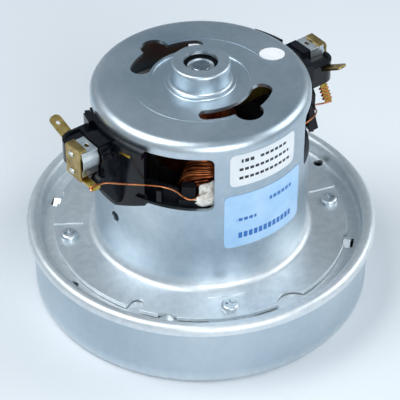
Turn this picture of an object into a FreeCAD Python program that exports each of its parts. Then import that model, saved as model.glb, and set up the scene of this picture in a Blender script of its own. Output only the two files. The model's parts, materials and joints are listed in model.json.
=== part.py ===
import FreeCAD, Part
import math
import os

import Sketcher
from FreeCAD import Placement, Rotation, Vector

# Universal motor of a vacuum cleaner with its through-flow fan, in millimetres.
# The origin is the centre of the air inlet's mouth, +Z runs along the shaft to the
# bearing boss, and +X runs along the brush axis.

SIZES = {
    # fan cover, the deep drawn pan round the impeller
    "cover_radius": 65.5,
    "cover_height": 28.4,
    "cover_sheet": 1.0,
    "cover_corner": 2.4,
    "inlet_radius": 19.0,
    # bearing bracket, the pressed plate between fan and motor
    "bracket_sheet": 1.5,
    "floor_top": 23.5,
    "rim_top": 30.0,
    "rim_reach": 2.5,
    "rim_drop": 2.2,
    "rim_sheet": 1.2,
    "rim_roll": 2.3,
    "bracket_fit": 0.1,
    "air_hole_inner": 17.0,
    "air_hole_outer": 33.0,
    "air_hole_sweep": 42.0,
    "air_hole_count": 6.0,
    "bridge_circle": 57.9,
    "bridge_turn": 40.0,
    "bridge_width": 2.8,
    "bridge_length": 6.4,
    "bridge_flat": 0.5,
    "bridge_rise": 1.9,
    "slit_width": 1.1,
    "drain_circle": 60.5,
    "drain_radius": 1.95,
    # motor can, the deep drawn housing with its flange
    "can_radius": 41.0,
    "can_sheet": 1.5,
    "can_top": 92.2,
    "can_corner": 4.0,
    "flange_radius": 57.3,
    "flange_fillet": 3.0,
    "flange_lift": 0.4,
    "boss_radius": 11.0,
    "boss_top": 100.3,
    "boss_hole": 6.44,
    "groove_inner": 12.9,
    "groove_outer": 18.4,
    "groove_depth": 0.7,
    "line_circle": 26.2,
    "line_width": 0.4,
    "line_depth": 0.15,
    "vent_inner": 19.4,
    "vent_narrow": 25.0,
    "vent_wide": 27.2,
    "vent_start": 50.4,
    "vent_middle": 93.4,
    "vent_finish": 134.4,
    "lobe_circle": 26.5,
    "lobe_radius": 5.3,
    "window_low": 63.0,
    "window_high": 86.4,
    "window_sweep": 118.6,
    "window_corner": 2.6,
    "wall_hole_radius": 2.1,
    "wall_hole_height": 48.0,
    "wall_hole_turn": 181.5,
    "pad_sweep": 17.0,
    "pad_inner": 46.0,
    "notch_turn": 206.4,
    "notch_width": 5.6,
    "notch_depth": 6.0,
    "wide_notch_turn": 268.4,
    "wide_notch_radius": 6.4,
    "wide_notch_depth": 4.5,
    # screws
    "flange_screw_circle": 52.0,
    "flange_screw_turn": 64.4,
    "flange_screw_radius": 1.55,
    "flange_screw_head": 3.4,
    "flange_screw_rise": 2.2,
    "flange_screw_reach": 3.0,
    "stator_screw_circle": 36.2,
    "stator_screw_radius": 1.9,
    "stator_screw_head": 2.9,
    "stator_screw_rise": 2.7,
    "screw_play": 0.2,
    "cross_width": 0.9,
    "cross_depth": 1.1,
    # stator
    "stack_low": 38.5,
    "stack_high": 61.5,
    "stack_fit": 0.08,
    "yoke_width": 5.5,
    "armature_radius": 20.0,
    "air_gap": 0.5,
    "shoe_thickness": 2.2,
    "shoe_sweep": 112.0,
    "neck_width": 27.6,
    "sleeve_wall": 1.2,
    # field coils
    "coil_low": 25.8,
    "coil_high": 74.2,
    "coil_inner": 23.7,
    "coil_turns": 9.0,
    "coil_pitch": 1.05,
    "coil_spread": 52.0,
    "coil_corner": 4.0,
    "coil_wire": 0.3,
    "coil_play": 0.35,
    "neck_play": 0.6,
    "frame_inner": 34.8,
    "frame_sheet": 1.4,
    "post_height": 8.4,
    "post_base": 2.9,
    "post_width": 5.2,
    "post_turn": 45.6,
    "guard_start": 18.0,
    "guard_end": 40.0,
    "guard_height": 6.5,
    "sheet_radius": 36.2,
    "sheet_outer": 38.9,
    "sheet_thickness": 1.1,
    "sheet_sweep": 75.0,
    "sheet_step": 6.4,
    "sheet_rise": 9.8,
    # shaft and armature
    "shaft_radius": 4.0,
    "shaft_end": 4.2,
    "journal_radius": 3.5,
    "shaft_top": 98.4,
    "fit": 0.02,
    "armature_slots": 12.0,
    "slot_opening": 2.4,
    "slot_depth": 7.0,
    "slot_bulb": 2.6,
    "winding_radius": 18.6,
    "winding_top": 72.0,
    "winding_low": 27.6,
    "commutator_radius": 12.0,
    "commutator_bore": 8.2,
    "commutator_low": 73.4,
    "commutator_high": 86.6,
    "commutator_bars": 24.0,
    "bar_gap": 0.6,
    "riser_radius": 13.6,
    "riser_height": 1.6,
    "hub_top": 88.4,
    # ball bearings
    "ball_radius": 1.984,
    "ball_count": 7.0,
    "race_play": 0.06,
    "cage_height": 4.4,
    "cage_width": 1.4,
    "upper_outer": 9.5,
    "upper_width": 6.0,
    "upper_top": 97.9,
    "lower_outer": 11.0,
    "lower_width": 7.0,
    "lower_low": 16.4,
    "cup_floor": 1.2,
    "cup_wall": 1.2,
    "cup_hole": 7.5,
    "shield_thickness": 0.3,
    # fan stage
    "impeller_radius": 56.0,
    "eye_radius": 20.0,
    "impeller_sheet": 0.8,
    "impeller_low": 2.4,
    "front_rim_low": 5.6,
    "back_plate_low": 12.2,
    "vane_count": 9.0,
    "vane_thickness": 0.8,
    "vane_inner": 23.0,
    "vane_radius": 34.0,
    "fan_washer_radius": 10.0,
    "fan_washer_sheet": 1.4,
    "nut_across": 13.0,
    "nut_height": 5.2,
    "spacer_radius": 6.0,
    "diffuser_screw_gap": 1.45,
    "diffuser_low": 14.6,
    "diffuser_sheet": 1.5,
    "diffuser_play": 0.2,
    "return_vanes": 10.0,
    "return_thickness": 1.6,
    "return_radius": 30.0,
    # brush gear, in the holder's own directions: out from the shaft, across and up
    "brush_height": 80.0,
    "brush_width": 6.2,
    "brush_depth": 9.8,
    "brush_length": 24.0,
    "brush_play": 0.1,
    "brush_gap": 0.1,
    "tube_wall": 0.6,
    "tube_start": 15.0,
    "holder_play": 0.15,
    "plate_thickness": 1.9,
    "plate_play": 0.3,
    "plate_front": 24.5,
    "plate_back": 31.0,
    "plate_low": 63.6,
    "plate_high": 87.5,
    "plate_back_high": 81.5,
    "skirt_low": 56.5,
    "block_out": 51.0,
    "tube_reach": 5.4,
    "arm_reach": 5.0,
    "block_front": 7.5,
    "block_back": 6.0,
    "block_top": 86.8,
    "block_low": 60.0,
    "nose_drop": 5.9,
    "block_heel": 44.2,
    "ridge_length": 5.4,
    "ridge_back": 4.6,
    "shelf_top": 86.2,
    "lip_start": 8.0,
    "lip_height": 2.2,
    "heel_back": 13.0,
    "hook_end": 33.6,
    "hook_rise": 6.4,
    "arm_front": 4.7,
    "arm_back": 12.6,
    "arm_low": 75.3,
    "arm_top": 84.1,
    "arm_corner": 5.4,
    "arm_wall": 1.2,
    "shoulder_start": 3.2,
    "shoulder_fall": 4.6,
    "rib_pitch": 1.35,
    "rib_width": 0.5,
    "rib_rise": 0.35,
    "pocket_depth": 0.8,
    "terminal_width": 4.8,
    "terminal_sheet": 0.8,
    "terminal_length": 18.6,
    "terminal_lift": 29.6,
    "terminal_lean": 8.0,
    "terminal_hole": 0.9,
    "clip_sheet": 0.5,
    "clip_setback": 1.4,
    "clip_drop": 9.8,
    "clip_back_drop": 4.0,
    "clip_kink": 0.9,
    "end_plate_sheet": 0.7,
    "end_plate_low": 73.6,
    "end_plate_back": 5.0,
    "end_plate_front": 3.9,
    "flap_length": 3.4,
    "tongue_rise": 0.5,
    "tongue_width": 2.4,
    "tongue_height": 1.6,
    "tongue_low": 1.8,
    "tongue_drop": 3.2,
    "tab_sheet": 0.6,
    "tab_width": 3.0,
    "lead_radius": 0.35,
    "spring_radius": 2.6,
    "spring_wire": 0.35,
    # labels
    "label_sheet": 0.12,
    "label_lift": 0.03,
    "label_corner": 2.2,
    "white_start": -113.0,
    "white_sweep": 40.4,
    "white_low": 72.8,
    "white_high": 87.0,
    "blue_start": -115.7,
    "blue_sweep": 49.5,
    "blue_low": 44.3,
    "blue_high": 68.6,
    "oval_circle": 31.1,
    "oval_turn": -6.8,
    "oval_long": 4.8,
    "oval_short": 4.0,
    "oval_lean": -37.6,
}

HALF_TURN = 180.0
FULL_TURN = 360.0
SIDES = {"right": 0.0, "left": HALF_TURN}
Z_AXIS = Vector(0, 0, 1)

doc = FreeCAD.newDocument("universal_motor")
sheet = doc.addObject("Spreadsheet::Sheet", "Sizes")
nodes = {}


class Size(float):
    """A number that also carries its spreadsheet expression."""

    def __new__(cls, number, text):
        size = super().__new__(cls, number)
        size.text = text
        return size

    def joined(self, other, sign, number, swapped=False):
        left, right = (other, self) if swapped else (self, other)
        return Size(number, f"({text_of(left)} {sign} {text_of(right)})")

    def __add__(self, other):
        return self.joined(other, "+", float(self) + float(other))

    def __radd__(self, other):
        return self.joined(other, "+", float(other) + float(self), True)

    def __sub__(self, other):
        return self.joined(other, "-", float(self) - float(other))

    def __rsub__(self, other):
        return self.joined(other, "-", float(other) - float(self), True)

    def __mul__(self, other):
        return self.joined(other, "*", float(self) * float(other))

    def __rmul__(self, other):
        return self.joined(other, "*", float(other) * float(self), True)

    def __truediv__(self, other):
        return self.joined(other, "/", float(self) / float(other))

    def __rtruediv__(self, other):
        return self.joined(other, "/", float(other) / float(self), True)

    def __neg__(self):
        return Size(-float(self), f"(0 - {self.text})")


def text_of(number):
    return number.text if isinstance(number, Size) else f"({float(number)!r})"


class Sizes:
    """The spreadsheet's cells by their aliases."""

    def __getattr__(self, name):
        return Size(SIZES[name], f"Sizes.{name}")


s = Sizes()

# Places that follow from the sizes: the brush tube's outer end, the holder's arm, the clip
# with the roof it lies on, and the rim of the diffuser inside the flange screws.
TUBE_END = s.block_out + s.tube_reach
ARM_OUT = s.block_out + s.arm_reach
CLIP_START = s.block_out - s.clip_setback
CLIP_ROOF = s.brush_height + s.brush_depth / 2.0 + s.brush_play + s.tube_wall + 0.1
LEG_LOW = CLIP_ROOF - s.clip_drop
BLOCK_NOSE = LEG_LOW - s.nose_drop
DIFFUSER_RADIUS = s.flange_screw_circle - s.flange_screw_radius - s.diffuser_screw_gap
RIM_RADIUS = s.cover_radius + s.rim_reach
RIDGE_START = s.block_out - s.ridge_length
FLANGE_LOW = s.floor_top + s.flange_lift
FLANGE_TOP = FLANGE_LOW + s.can_sheet


def fill_sheet():
    for row, (name, number) in enumerate(SIZES.items(), start=1):
        sheet.set(f"A{row}", name)
        sheet.set(f"B{row}", str(number))
        sheet.setAlias(f"B{row}", name)
    doc.recompute()


def bind(feature, path, size):
    feature.setExpression(path, text_of(size))


def place(feature, x=0.0, y=0.0, z=0.0, turn=0.0):
    feature.Placement = Placement(Vector(float(x), float(y), float(z)), Rotation(Z_AXIS, float(turn)))
    for axis, size in zip("xyz", (x, y, z)):
        if isinstance(size, Size):
            bind(feature, f"Placement.Base.{axis}", size)
    if isinstance(turn, Size):
        bind(feature, "Placement.Rotation.Angle", turn)
    return feature


def cylinder(name, radius, height, z=0.0, x=0.0, y=0.0, turn=0.0, sweep=FULL_TURN):
    feature = doc.addObject("Part::Cylinder", name)
    bind(feature, "Radius", radius)
    bind(feature, "Height", height)
    bind(feature, "Angle", sweep)
    return place(feature, x, y, z, turn)


def box(name, low, high):
    """A block from its lowest corner to its highest."""
    feature = doc.addObject("Part::Box", name)
    for side, start, stop in zip(("Length", "Width", "Height"), low, high):
        bind(feature, side, stop - start)
    return place(feature, *low)


def fuse(name, *features):
    feature = doc.addObject("Part::MultiFuse", name)
    feature.Shapes = list(features)
    feature.Refine = True
    return feature


def common(name, *features):
    feature = doc.addObject("Part::MultiCommon", name)
    feature.Shapes = list(features)
    return feature


def cut(name, base, *tools):
    feature = doc.addObject("Part::Cut", name)
    feature.Base = base
    feature.Tool = tools[0] if len(tools) == 1 else fuse(f"{name}_tools", *tools)
    return feature


def ring_sector(name, inner, outer, height, z=0.0, start=0.0, sweep=FULL_TURN):
    outside = cylinder(f"{name}_outside", outer, height, z, turn=start, sweep=sweep)
    inside = cylinder(f"{name}_inside", inner, height, z)
    return cut(name, outside, inside)


def turned_copy(name, source, turn):
    """The same shape, turned about the shaft."""
    doc.recompute()
    feature = doc.addObject("Part::Feature", name)
    feature.Shape = source.Shape
    feature.Placement = Placement(Vector(), Rotation(Z_AXIS, float(turn))).multiply(source.Placement)
    return feature


def turned_ring(name, source, count, first=0.0):
    """Copies of one shape, evenly spaced round the shaft."""
    step = FULL_TURN / int(count)
    return [turned_copy(f"{name}_{number}", source, float(first) + number * step)
            for number in range(int(count))]


def rounded(name, base, radius, wanted):
    """Fillets of one radius on the edges that the test picks."""
    doc.recompute()
    feature = doc.addObject("Part::Fillet", name)
    feature.Base = base
    feature.Edges = [(number, float(radius), float(radius))
                     for number, edge in enumerate(base.Shape.Edges, start=1) if wanted(edge)]
    return feature


def is_radial(edge):
    """A straight level edge that points at the shaft."""
    first, last = edge.Vertexes[0].Point, edge.Vertexes[-1].Point
    run = last - first
    level = abs(run.z) < 1e-6 and run.Length > 1e-6
    flat_first = Vector(first.x, first.y, 0)
    return level and "Line" in edge.Curve.TypeId and run.cross(flat_first).Length < 1e-4


def outline_sketch(body, name, role, points):
    """A closed outline whose corners follow their expressions."""
    sketch = body.newObject("Sketcher::SketchObject", name)
    plane = [feature for feature in body.Origin.OriginFeatures if feature.Role == role][0]
    sketch.AttachmentSupport = [(plane, "")]
    sketch.MapMode = "FlatFace"
    count = len(points)
    for number, (across, up) in enumerate(points):
        following = points[(number + 1) % count]
        sketch.addGeometry(Part.LineSegment(Vector(float(across), float(up), 0),
                                            Vector(float(following[0]), float(following[1]), 0)))
    for number in range(count):
        sketch.addConstraint(Sketcher.Constraint("Coincident", number, 2, (number + 1) % count, 1))
    for number, corner in enumerate(points):
        for kind, size in zip(("DistanceX", "DistanceY"), corner):
            index = sketch.addConstraint(Sketcher.Constraint(kind, -1, 1, number, 1, float(size)))
            if isinstance(size, Size):
                bind(sketch, f"Constraints[{index}]", size)
    return sketch


def turned(name, points, fillets=()):
    """A body turned about the shaft from its half section, with its rounded edges."""
    body = doc.addObject("PartDesign::Body", name)
    sketch = outline_sketch(body, f"{name}_section", "XZ_Plane", points)
    feature = body.newObject("PartDesign::Revolution", f"{name}_turned")
    feature.Profile = sketch
    feature.ReferenceAxis = (sketch, ["V_Axis"])
    feature.Angle = FULL_TURN
    doc.recompute()
    for number, (radius, height, size) in enumerate(fillets):
        base = body.Tip
        names = [f"Edge{index}" for index, edge in enumerate(base.Shape.Edges, start=1)
                 if is_hoop(edge, radius, height)]
        feature = body.newObject("PartDesign::Fillet", f"{name}_edge_{number}")
        feature.Base = (base, names)
        bind(feature, "Radius", size)
        doc.recompute()
    return body


def is_hoop(edge, radius, height):
    """A circular edge about the shaft with this radius and height."""
    curve = edge.Curve
    return (curve.TypeId == "Part::GeomCircle" and abs(curve.Radius - float(radius)) < 1e-4
            and abs(curve.Center.z - float(height)) < 1e-4)


def pushed(name, points, role, start, stop):
    """A body pushed out of an outline, from one distance to another along the plane's normal."""
    body = doc.addObject("PartDesign::Body", name)
    sketch = outline_sketch(body, f"{name}_outline", role, points)
    bind(sketch, "AttachmentOffset.Base.z", start)
    feature = body.newObject("PartDesign::Pad", f"{name}_pad")
    feature.Profile = sketch
    bind(feature, "Length", stop - start)
    return body


def solid_node(name, shape, turn=0.0):
    """A sub-part whose shape Part's functions make from the sheet's sizes."""
    feature = doc.addObject("Part::Feature", name)
    feature.Shape = shape
    feature.Placement = Placement(Vector(), Rotation(Z_AXIS, turn)).multiply(shape.Placement)
    return keep(name, feature)


def keep(name, feature):
    feature.Label = name
    nodes[name] = feature
    return feature


def polar(radius, degrees, z=0.0):
    angle = math.radians(degrees)
    return Vector(float(radius) * math.cos(angle), float(radius) * math.sin(angle), float(z))


def ring_solid(inner, outer, height, z, start=0.0, sweep=FULL_TURN):
    """A ring or part of one, as a plain shape."""
    outside = Part.makeCylinder(float(outer), float(height), Vector(0, 0, float(z)), Z_AXIS, float(sweep))
    inside = Part.makeCylinder(float(inner), float(height) + 2, Vector(0, 0, float(z) - 1))
    ring = outside.cut(inside)
    ring.rotate(Vector(), Z_AXIS, float(start))
    return ring


# Casing


def make_fan_cover():
    wall_inner = s.cover_radius - s.cover_sheet
    inner_corner = s.cover_corner - s.cover_sheet
    keep("fan_cover", turned("fan_cover", [
        (s.inlet_radius, 0.0), (s.cover_radius, 0.0), (s.cover_radius, s.cover_height),
        (wall_inner, s.cover_height), (wall_inner, s.cover_sheet), (s.inlet_radius, s.cover_sheet),
    ], [(s.cover_radius, 0.0, s.cover_corner), (wall_inner, s.cover_sheet, inner_corner)]))


def make_bearing_bracket():
    floor_low = s.floor_top - s.bracket_sheet
    wall_outer = s.cover_radius - s.cover_sheet - s.bracket_fit
    wall_inner = wall_outer - s.bracket_sheet
    lip_low = s.rim_top - s.bracket_sheet
    skirt_inner = RIM_RADIUS - s.rim_sheet
    skirt_low = lip_low - s.rim_drop
    cup_outer = s.lower_outer + s.cup_wall
    cup_low = s.lower_low - s.cup_floor
    seat = s.lower_outer + s.fit
    pan = turned("bearing_bracket_pan", [
        (s.cup_hole, cup_low), (cup_outer, cup_low), (cup_outer, floor_low), (wall_outer, floor_low),
        (wall_outer, lip_low), (skirt_inner, lip_low), (skirt_inner, skirt_low),
        (RIM_RADIUS, skirt_low), (RIM_RADIUS, s.rim_top), (wall_inner, s.rim_top),
        (wall_inner, s.floor_top), (seat, s.floor_top), (seat, s.lower_low), (s.cup_hole, s.lower_low),
    ], [(wall_inner, s.rim_top, s.rim_roll), (RIM_RADIUS, s.rim_top, s.rim_roll),
        (wall_inner, s.floor_top, s.bracket_sheet), (wall_outer, floor_low, s.bracket_sheet)])
    span = s.bracket_sheet + 2.0
    below = floor_low - 1.0
    air_hole = ring_sector("air_hole", s.air_hole_inner, s.air_hole_outer, span, below,
                           s.air_hole_sweep / -2.0, s.air_hole_sweep)
    air_hole = rounded("air_hole_rounded", air_hole, 2.0, lambda edge: is_upright(edge))
    screw_hole = cylinder("bracket_screw_hole", s.flange_screw_radius + s.screw_play / 2.0, span, below,
                          x=s.flange_screw_circle)
    stator_hole = cylinder("bracket_stator_hole", s.stator_screw_radius + s.screw_play / 2.0, span, below,
                           x=s.stator_screw_circle)
    drain = cylinder("drain_hole", s.drain_radius, span, below, x=s.drain_circle)
    bridge_in, bridge_out = s.bridge_circle - s.bridge_width / 2.0, s.bridge_circle + s.bridge_width / 2.0
    half_length = s.bridge_length / 2.0
    bridge = pushed("bridge", [
        (-half_length, s.floor_top - 0.4), (half_length, s.floor_top - 0.4), (half_length, s.floor_top),
        (s.bridge_flat, s.floor_top + s.bridge_rise), (-s.bridge_flat, s.floor_top + s.bridge_rise),
        (-half_length, s.floor_top)], "YZ_Plane", bridge_in, bridge_out)
    slits = [box(f"bridge_slit_{number}", (start, s.bridge_length * -0.4, below),
                 (start + s.slit_width, s.bridge_length * 0.4, s.floor_top + s.bridge_rise + 1.0))
             for number, start in enumerate((bridge_in - s.slit_width, bridge_out))]
    tools = (turned_ring("air_hole_copy", air_hole, s.air_hole_count, 30.0)
             + turned_ring("screw_hole_copy", screw_hole, 4, s.flange_screw_turn)
             + turned_ring("stator_hole_copy", stator_hole, 2)
             + turned_ring("drain_copy", drain, 2)
             + turned_ring("slit_copy", fuse("bridge_slits", *slits), 4, s.bridge_turn))
    raised = fuse("bearing_bracket_raised", pan, *turned_ring("bridge_copy", bridge, 4, s.bridge_turn))
    keep("bearing_bracket", cut("bearing_bracket", raised, *tools))


def is_upright(edge):
    run = edge.Vertexes[-1].Point - edge.Vertexes[0].Point
    return abs(run.z) > 1e-6 and Vector(run.x, run.y, 0).Length < 1e-6


def vent_tool():
    """One top vent: a narrow arc, a wide arc and the round lobe where they meet."""
    depth = s.can_sheet + 4.0
    below = s.can_top - s.can_sheet - 1.0
    narrow_round = (s.vent_narrow - s.vent_inner) / 2.0
    wide_round = (s.vent_wide - s.vent_inner) / 2.0
    narrow_turn = s.vent_start + 7.0
    wide_turn = s.vent_finish - 9.0
    narrow = ring_sector("vent_narrow_arc", s.vent_inner, s.vent_narrow, depth, below,
                         narrow_turn, s.vent_middle - narrow_turn)
    wide = ring_sector("vent_wide_arc", s.vent_inner, s.vent_wide, depth, below,
                       s.vent_middle, wide_turn - s.vent_middle)
    narrow_end = cylinder("vent_narrow_end", narrow_round, depth, below, x=s.vent_inner + narrow_round)
    wide_end = cylinder("vent_wide_end", wide_round, depth, below, x=s.vent_inner + wide_round)
    lobe = cylinder("vent_lobe", s.lobe_radius, depth, below, x=s.lobe_circle)
    ends = [turned_copy("vent_narrow_end_placed", narrow_end, narrow_turn),
            turned_copy("vent_wide_end_placed", wide_end, wide_turn),
            turned_copy("vent_lobe_placed", lobe, s.vent_middle)]
    return fuse("vent", narrow, wide, *ends)


def make_motor_can():
    inner = s.can_radius - s.can_sheet
    under_top = s.can_top - s.can_sheet
    boss_inner = s.upper_outer + s.fit
    boss_under = s.boss_top - s.can_sheet
    can = turned("motor_can_drawn", [
        (s.boss_hole, boss_under), (boss_inner, boss_under), (boss_inner, under_top), (inner, under_top),
        (inner, FLANGE_LOW), (s.flange_radius, FLANGE_LOW), (s.flange_radius, FLANGE_TOP),
        (s.can_radius, FLANGE_TOP), (s.can_radius, s.can_top), (s.boss_radius, s.can_top),
        (s.boss_radius, s.boss_top), (s.boss_hole, s.boss_top),
    ], [(s.can_radius, s.can_top, s.can_corner), (inner, under_top, s.can_corner - s.can_sheet),
        (s.can_radius, FLANGE_TOP, s.flange_fillet), (s.boss_radius, s.can_top, s.can_sheet),
        (s.boss_radius, s.boss_top, s.can_sheet * 0.7), (s.flange_radius, FLANGE_TOP, s.can_sheet * 0.2)])
    groove = ring_sector("boss_groove", s.groove_inner, s.groove_outer, s.groove_depth + 1.0,
                         s.can_top - s.groove_depth)
    groove = rounded("boss_groove_rounded", groove, s.groove_depth * 0.8,
                     lambda edge: edge.CenterOfMass.z < float(s.can_top - s.groove_depth) + 1e-3
                     and edge.Curve.TypeId == "Part::GeomCircle")
    line_half = s.line_width / 2.0
    line = ring_sector("top_line", s.line_circle - line_half, s.line_circle + line_half,
                       s.line_depth + 1.0, s.can_top - s.line_depth)
    vent = vent_tool()
    window = ring_sector("window", inner - 2.0, s.can_radius + 2.0, s.window_high - s.window_low,
                         s.window_low, s.window_sweep / -2.0, s.window_sweep)
    window = rounded("window_rounded", window, s.window_corner, is_radial)
    wall_hole = doc.addObject("Part::Cylinder", "wall_hole")
    bind(wall_hole, "Radius", s.wall_hole_radius)
    bind(wall_hole, "Height", s.can_radius + 2.0)
    wall_hole.Placement = Placement(Vector(0, 0, s.wall_hole_height), Rotation(Vector(0, 1, 0), 90))
    bind(wall_hole, "Placement.Base.z", s.wall_hole_height)
    bore = ring_sector("wall_hole_reach", inner - 2.0, s.can_radius + 2.0, s.wall_hole_radius * 4.0,
                       s.wall_hole_height - s.wall_hole_radius * 2.0, -30.0, 60.0)
    wall_hole = common("wall_hole_trimmed", wall_hole, bore)
    below, span = s.floor_top - 1.0, s.can_sheet + 3.0
    screw_hole = cylinder("can_screw_hole", s.flange_screw_radius + s.screw_play, span, below,
                          x=s.flange_screw_circle)
    pad_room = ring_sector("screw_pad_room", s.pad_inner, s.flange_radius + 2.0, span, below,
                           s.pad_sweep / -2.0, s.pad_sweep)
    pad = ring_sector("screw_pad", s.pad_inner - 0.3, s.flange_radius, s.can_sheet, s.floor_top,
                      s.pad_sweep / -2.0 - 0.3, s.pad_sweep + 0.6)
    half_notch = s.notch_width / 2.0
    notch_middle = s.flange_radius - s.notch_depth + half_notch
    notch = fuse("notch", cylinder("notch_end", half_notch, span, below, x=notch_middle),
                 box("notch_mouth", (notch_middle, -half_notch, below),
                     (s.flange_radius + 2.0, half_notch, below + span)))
    wide_notch = cylinder("wide_notch", s.wide_notch_radius, span, below,
                          x=s.flange_radius - s.wide_notch_depth + s.wide_notch_radius)
    bridge_room = s.bridge_width / 2.0 + s.bracket_fit * 2.0
    bridge_notch = box("bridge_notch",
                       (s.bridge_circle - bridge_room, s.bridge_length * -0.56, s.floor_top - 1.0),
                       (s.bridge_circle + bridge_room, s.bridge_length * 0.56, FLANGE_TOP + 2.0))
    tools = ([groove, line] + turned_ring("vent_copy", vent, 2) + turned_ring("window_copy", window, 2)
             + turned_ring("wall_hole_copy", wall_hole, 2, s.wall_hole_turn)
             + turned_ring("can_screw_hole_copy", screw_hole, 4, s.flange_screw_turn)
             + turned_ring("notch_copy", notch, 2, s.notch_turn)
             + turned_ring("wide_notch_copy", wide_notch, 2, s.wide_notch_turn)
             + turned_ring("bridge_notch_copy", bridge_notch, 4, s.bridge_turn))
    opened = cut("motor_can_opened", can, *turned_ring("pad_room_copy", pad_room, 4, s.flange_screw_turn))
    padded = fuse("motor_can_padded", opened, *turned_ring("pad_copy", pad, 4, s.flange_screw_turn))
    keep("motor_can", cut("motor_can", padded, *tools))


# Screws


def screw_shape(radius, head, rise, seat, tip, z_axis_offset):
    """A pan head screw with a cross recess, standing at its circle's first place."""
    shank = Part.makeCylinder(float(radius), float(seat - tip), Vector(0, 0, float(tip)))
    shank = shank.makeChamfer(float(radius) * 0.3, [edge for edge in shank.Edges
                                                    if edge.CenterOfMass.z < float(tip) + 1e-3])
    cap = Part.makeCylinder(float(head), float(rise), Vector(0, 0, float(seat)))
    cap = cap.makeFillet(float(rise) * 0.55, [edge for edge in cap.Edges
                                              if edge.CenterOfMass.z > float(seat + rise) - 1e-3
                                              and edge.Curve.TypeId == "Part::GeomCircle"])
    width, depth = float(s.cross_width), float(s.cross_depth)
    reach = float(head) * 1.1
    top = float(seat + rise)
    bars = [Part.makeBox(length, across, depth + 1, Vector(-length / 2, -across / 2, top - depth))
            for length, across in ((reach, width), (width, reach))]
    screw = shank.fuse(cap).cut(bars[0].fuse(bars[1])).removeSplitter()
    screw.translate(Vector(float(z_axis_offset), 0, 0))
    return screw


def ring_of(shape, count, first=0.0):
    copies = []
    for number in range(int(count)):
        copy = shape.copy()
        copy.rotate(Vector(), Z_AXIS, float(first) + number * FULL_TURN / int(count))
        copies.append(copy)
    return Part.makeCompound(copies)


def make_screws():
    seat = s.floor_top + s.can_sheet
    tip = s.floor_top - s.bracket_sheet - s.flange_screw_reach
    screw = screw_shape(s.flange_screw_radius, s.flange_screw_head, s.flange_screw_rise, seat, tip,
                        s.flange_screw_circle)
    solid_node("flange_screws", ring_of(screw, 4, s.flange_screw_turn))
    tip = s.floor_top - s.bracket_sheet
    screw = screw_shape(s.stator_screw_radius, s.stator_screw_head, s.stator_screw_rise, s.stack_high, tip,
                        s.stator_screw_circle)
    solid_node("stator_screws", ring_of(screw, 2))
    sleeve_inner = s.stator_screw_radius + s.screw_play
    sleeve = cut("stator_sleeve",
                 cylinder("stator_sleeve_outside", sleeve_inner + s.sleeve_wall, s.stack_low - s.floor_top,
                          s.floor_top, x=s.stator_screw_circle),
                 cylinder("stator_sleeve_bore", sleeve_inner, s.stack_low - s.floor_top, s.floor_top,
                          x=s.stator_screw_circle))
    keep("stator_sleeves", fuse("stator_sleeves", *turned_ring("stator_sleeve_copy", sleeve, 2)))


# Stator


def make_stator_core():
    height = s.stack_high - s.stack_low
    outer = s.can_radius - s.can_sheet - s.stack_fit
    inner = outer - s.yoke_width
    bore = s.armature_radius + s.air_gap
    yoke = ring_sector("yoke", inner, outer, height, s.stack_low)
    shoe = ring_sector("pole_shoe", bore, bore + s.shoe_thickness, height, s.stack_low,
                       90.0 - s.shoe_sweep / 2.0, s.shoe_sweep)
    neck = box("pole_neck", (s.neck_width / -2.0, bore, s.stack_low),
               (s.neck_width / 2.0, outer, s.stack_high))
    neck = common("pole_neck_trimmed", neck,
                  ring_sector("pole_neck_limit", bore + s.shoe_thickness / 2.0, inner + 1.0, height,
                              s.stack_low))
    pole = fuse("pole", shoe, neck)
    screw_hole = cylinder("stack_screw_hole", s.stator_screw_radius + s.screw_play, height + 2.0,
                          s.stack_low - 1.0, x=s.stator_screw_circle)
    stack = fuse("stack", yoke, *turned_ring("pole_copy", pole, 2))
    keep("stator_core", cut("stator_core", stack, *turned_ring("stack_screw_hole_copy", screw_hole, 2)))


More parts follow.
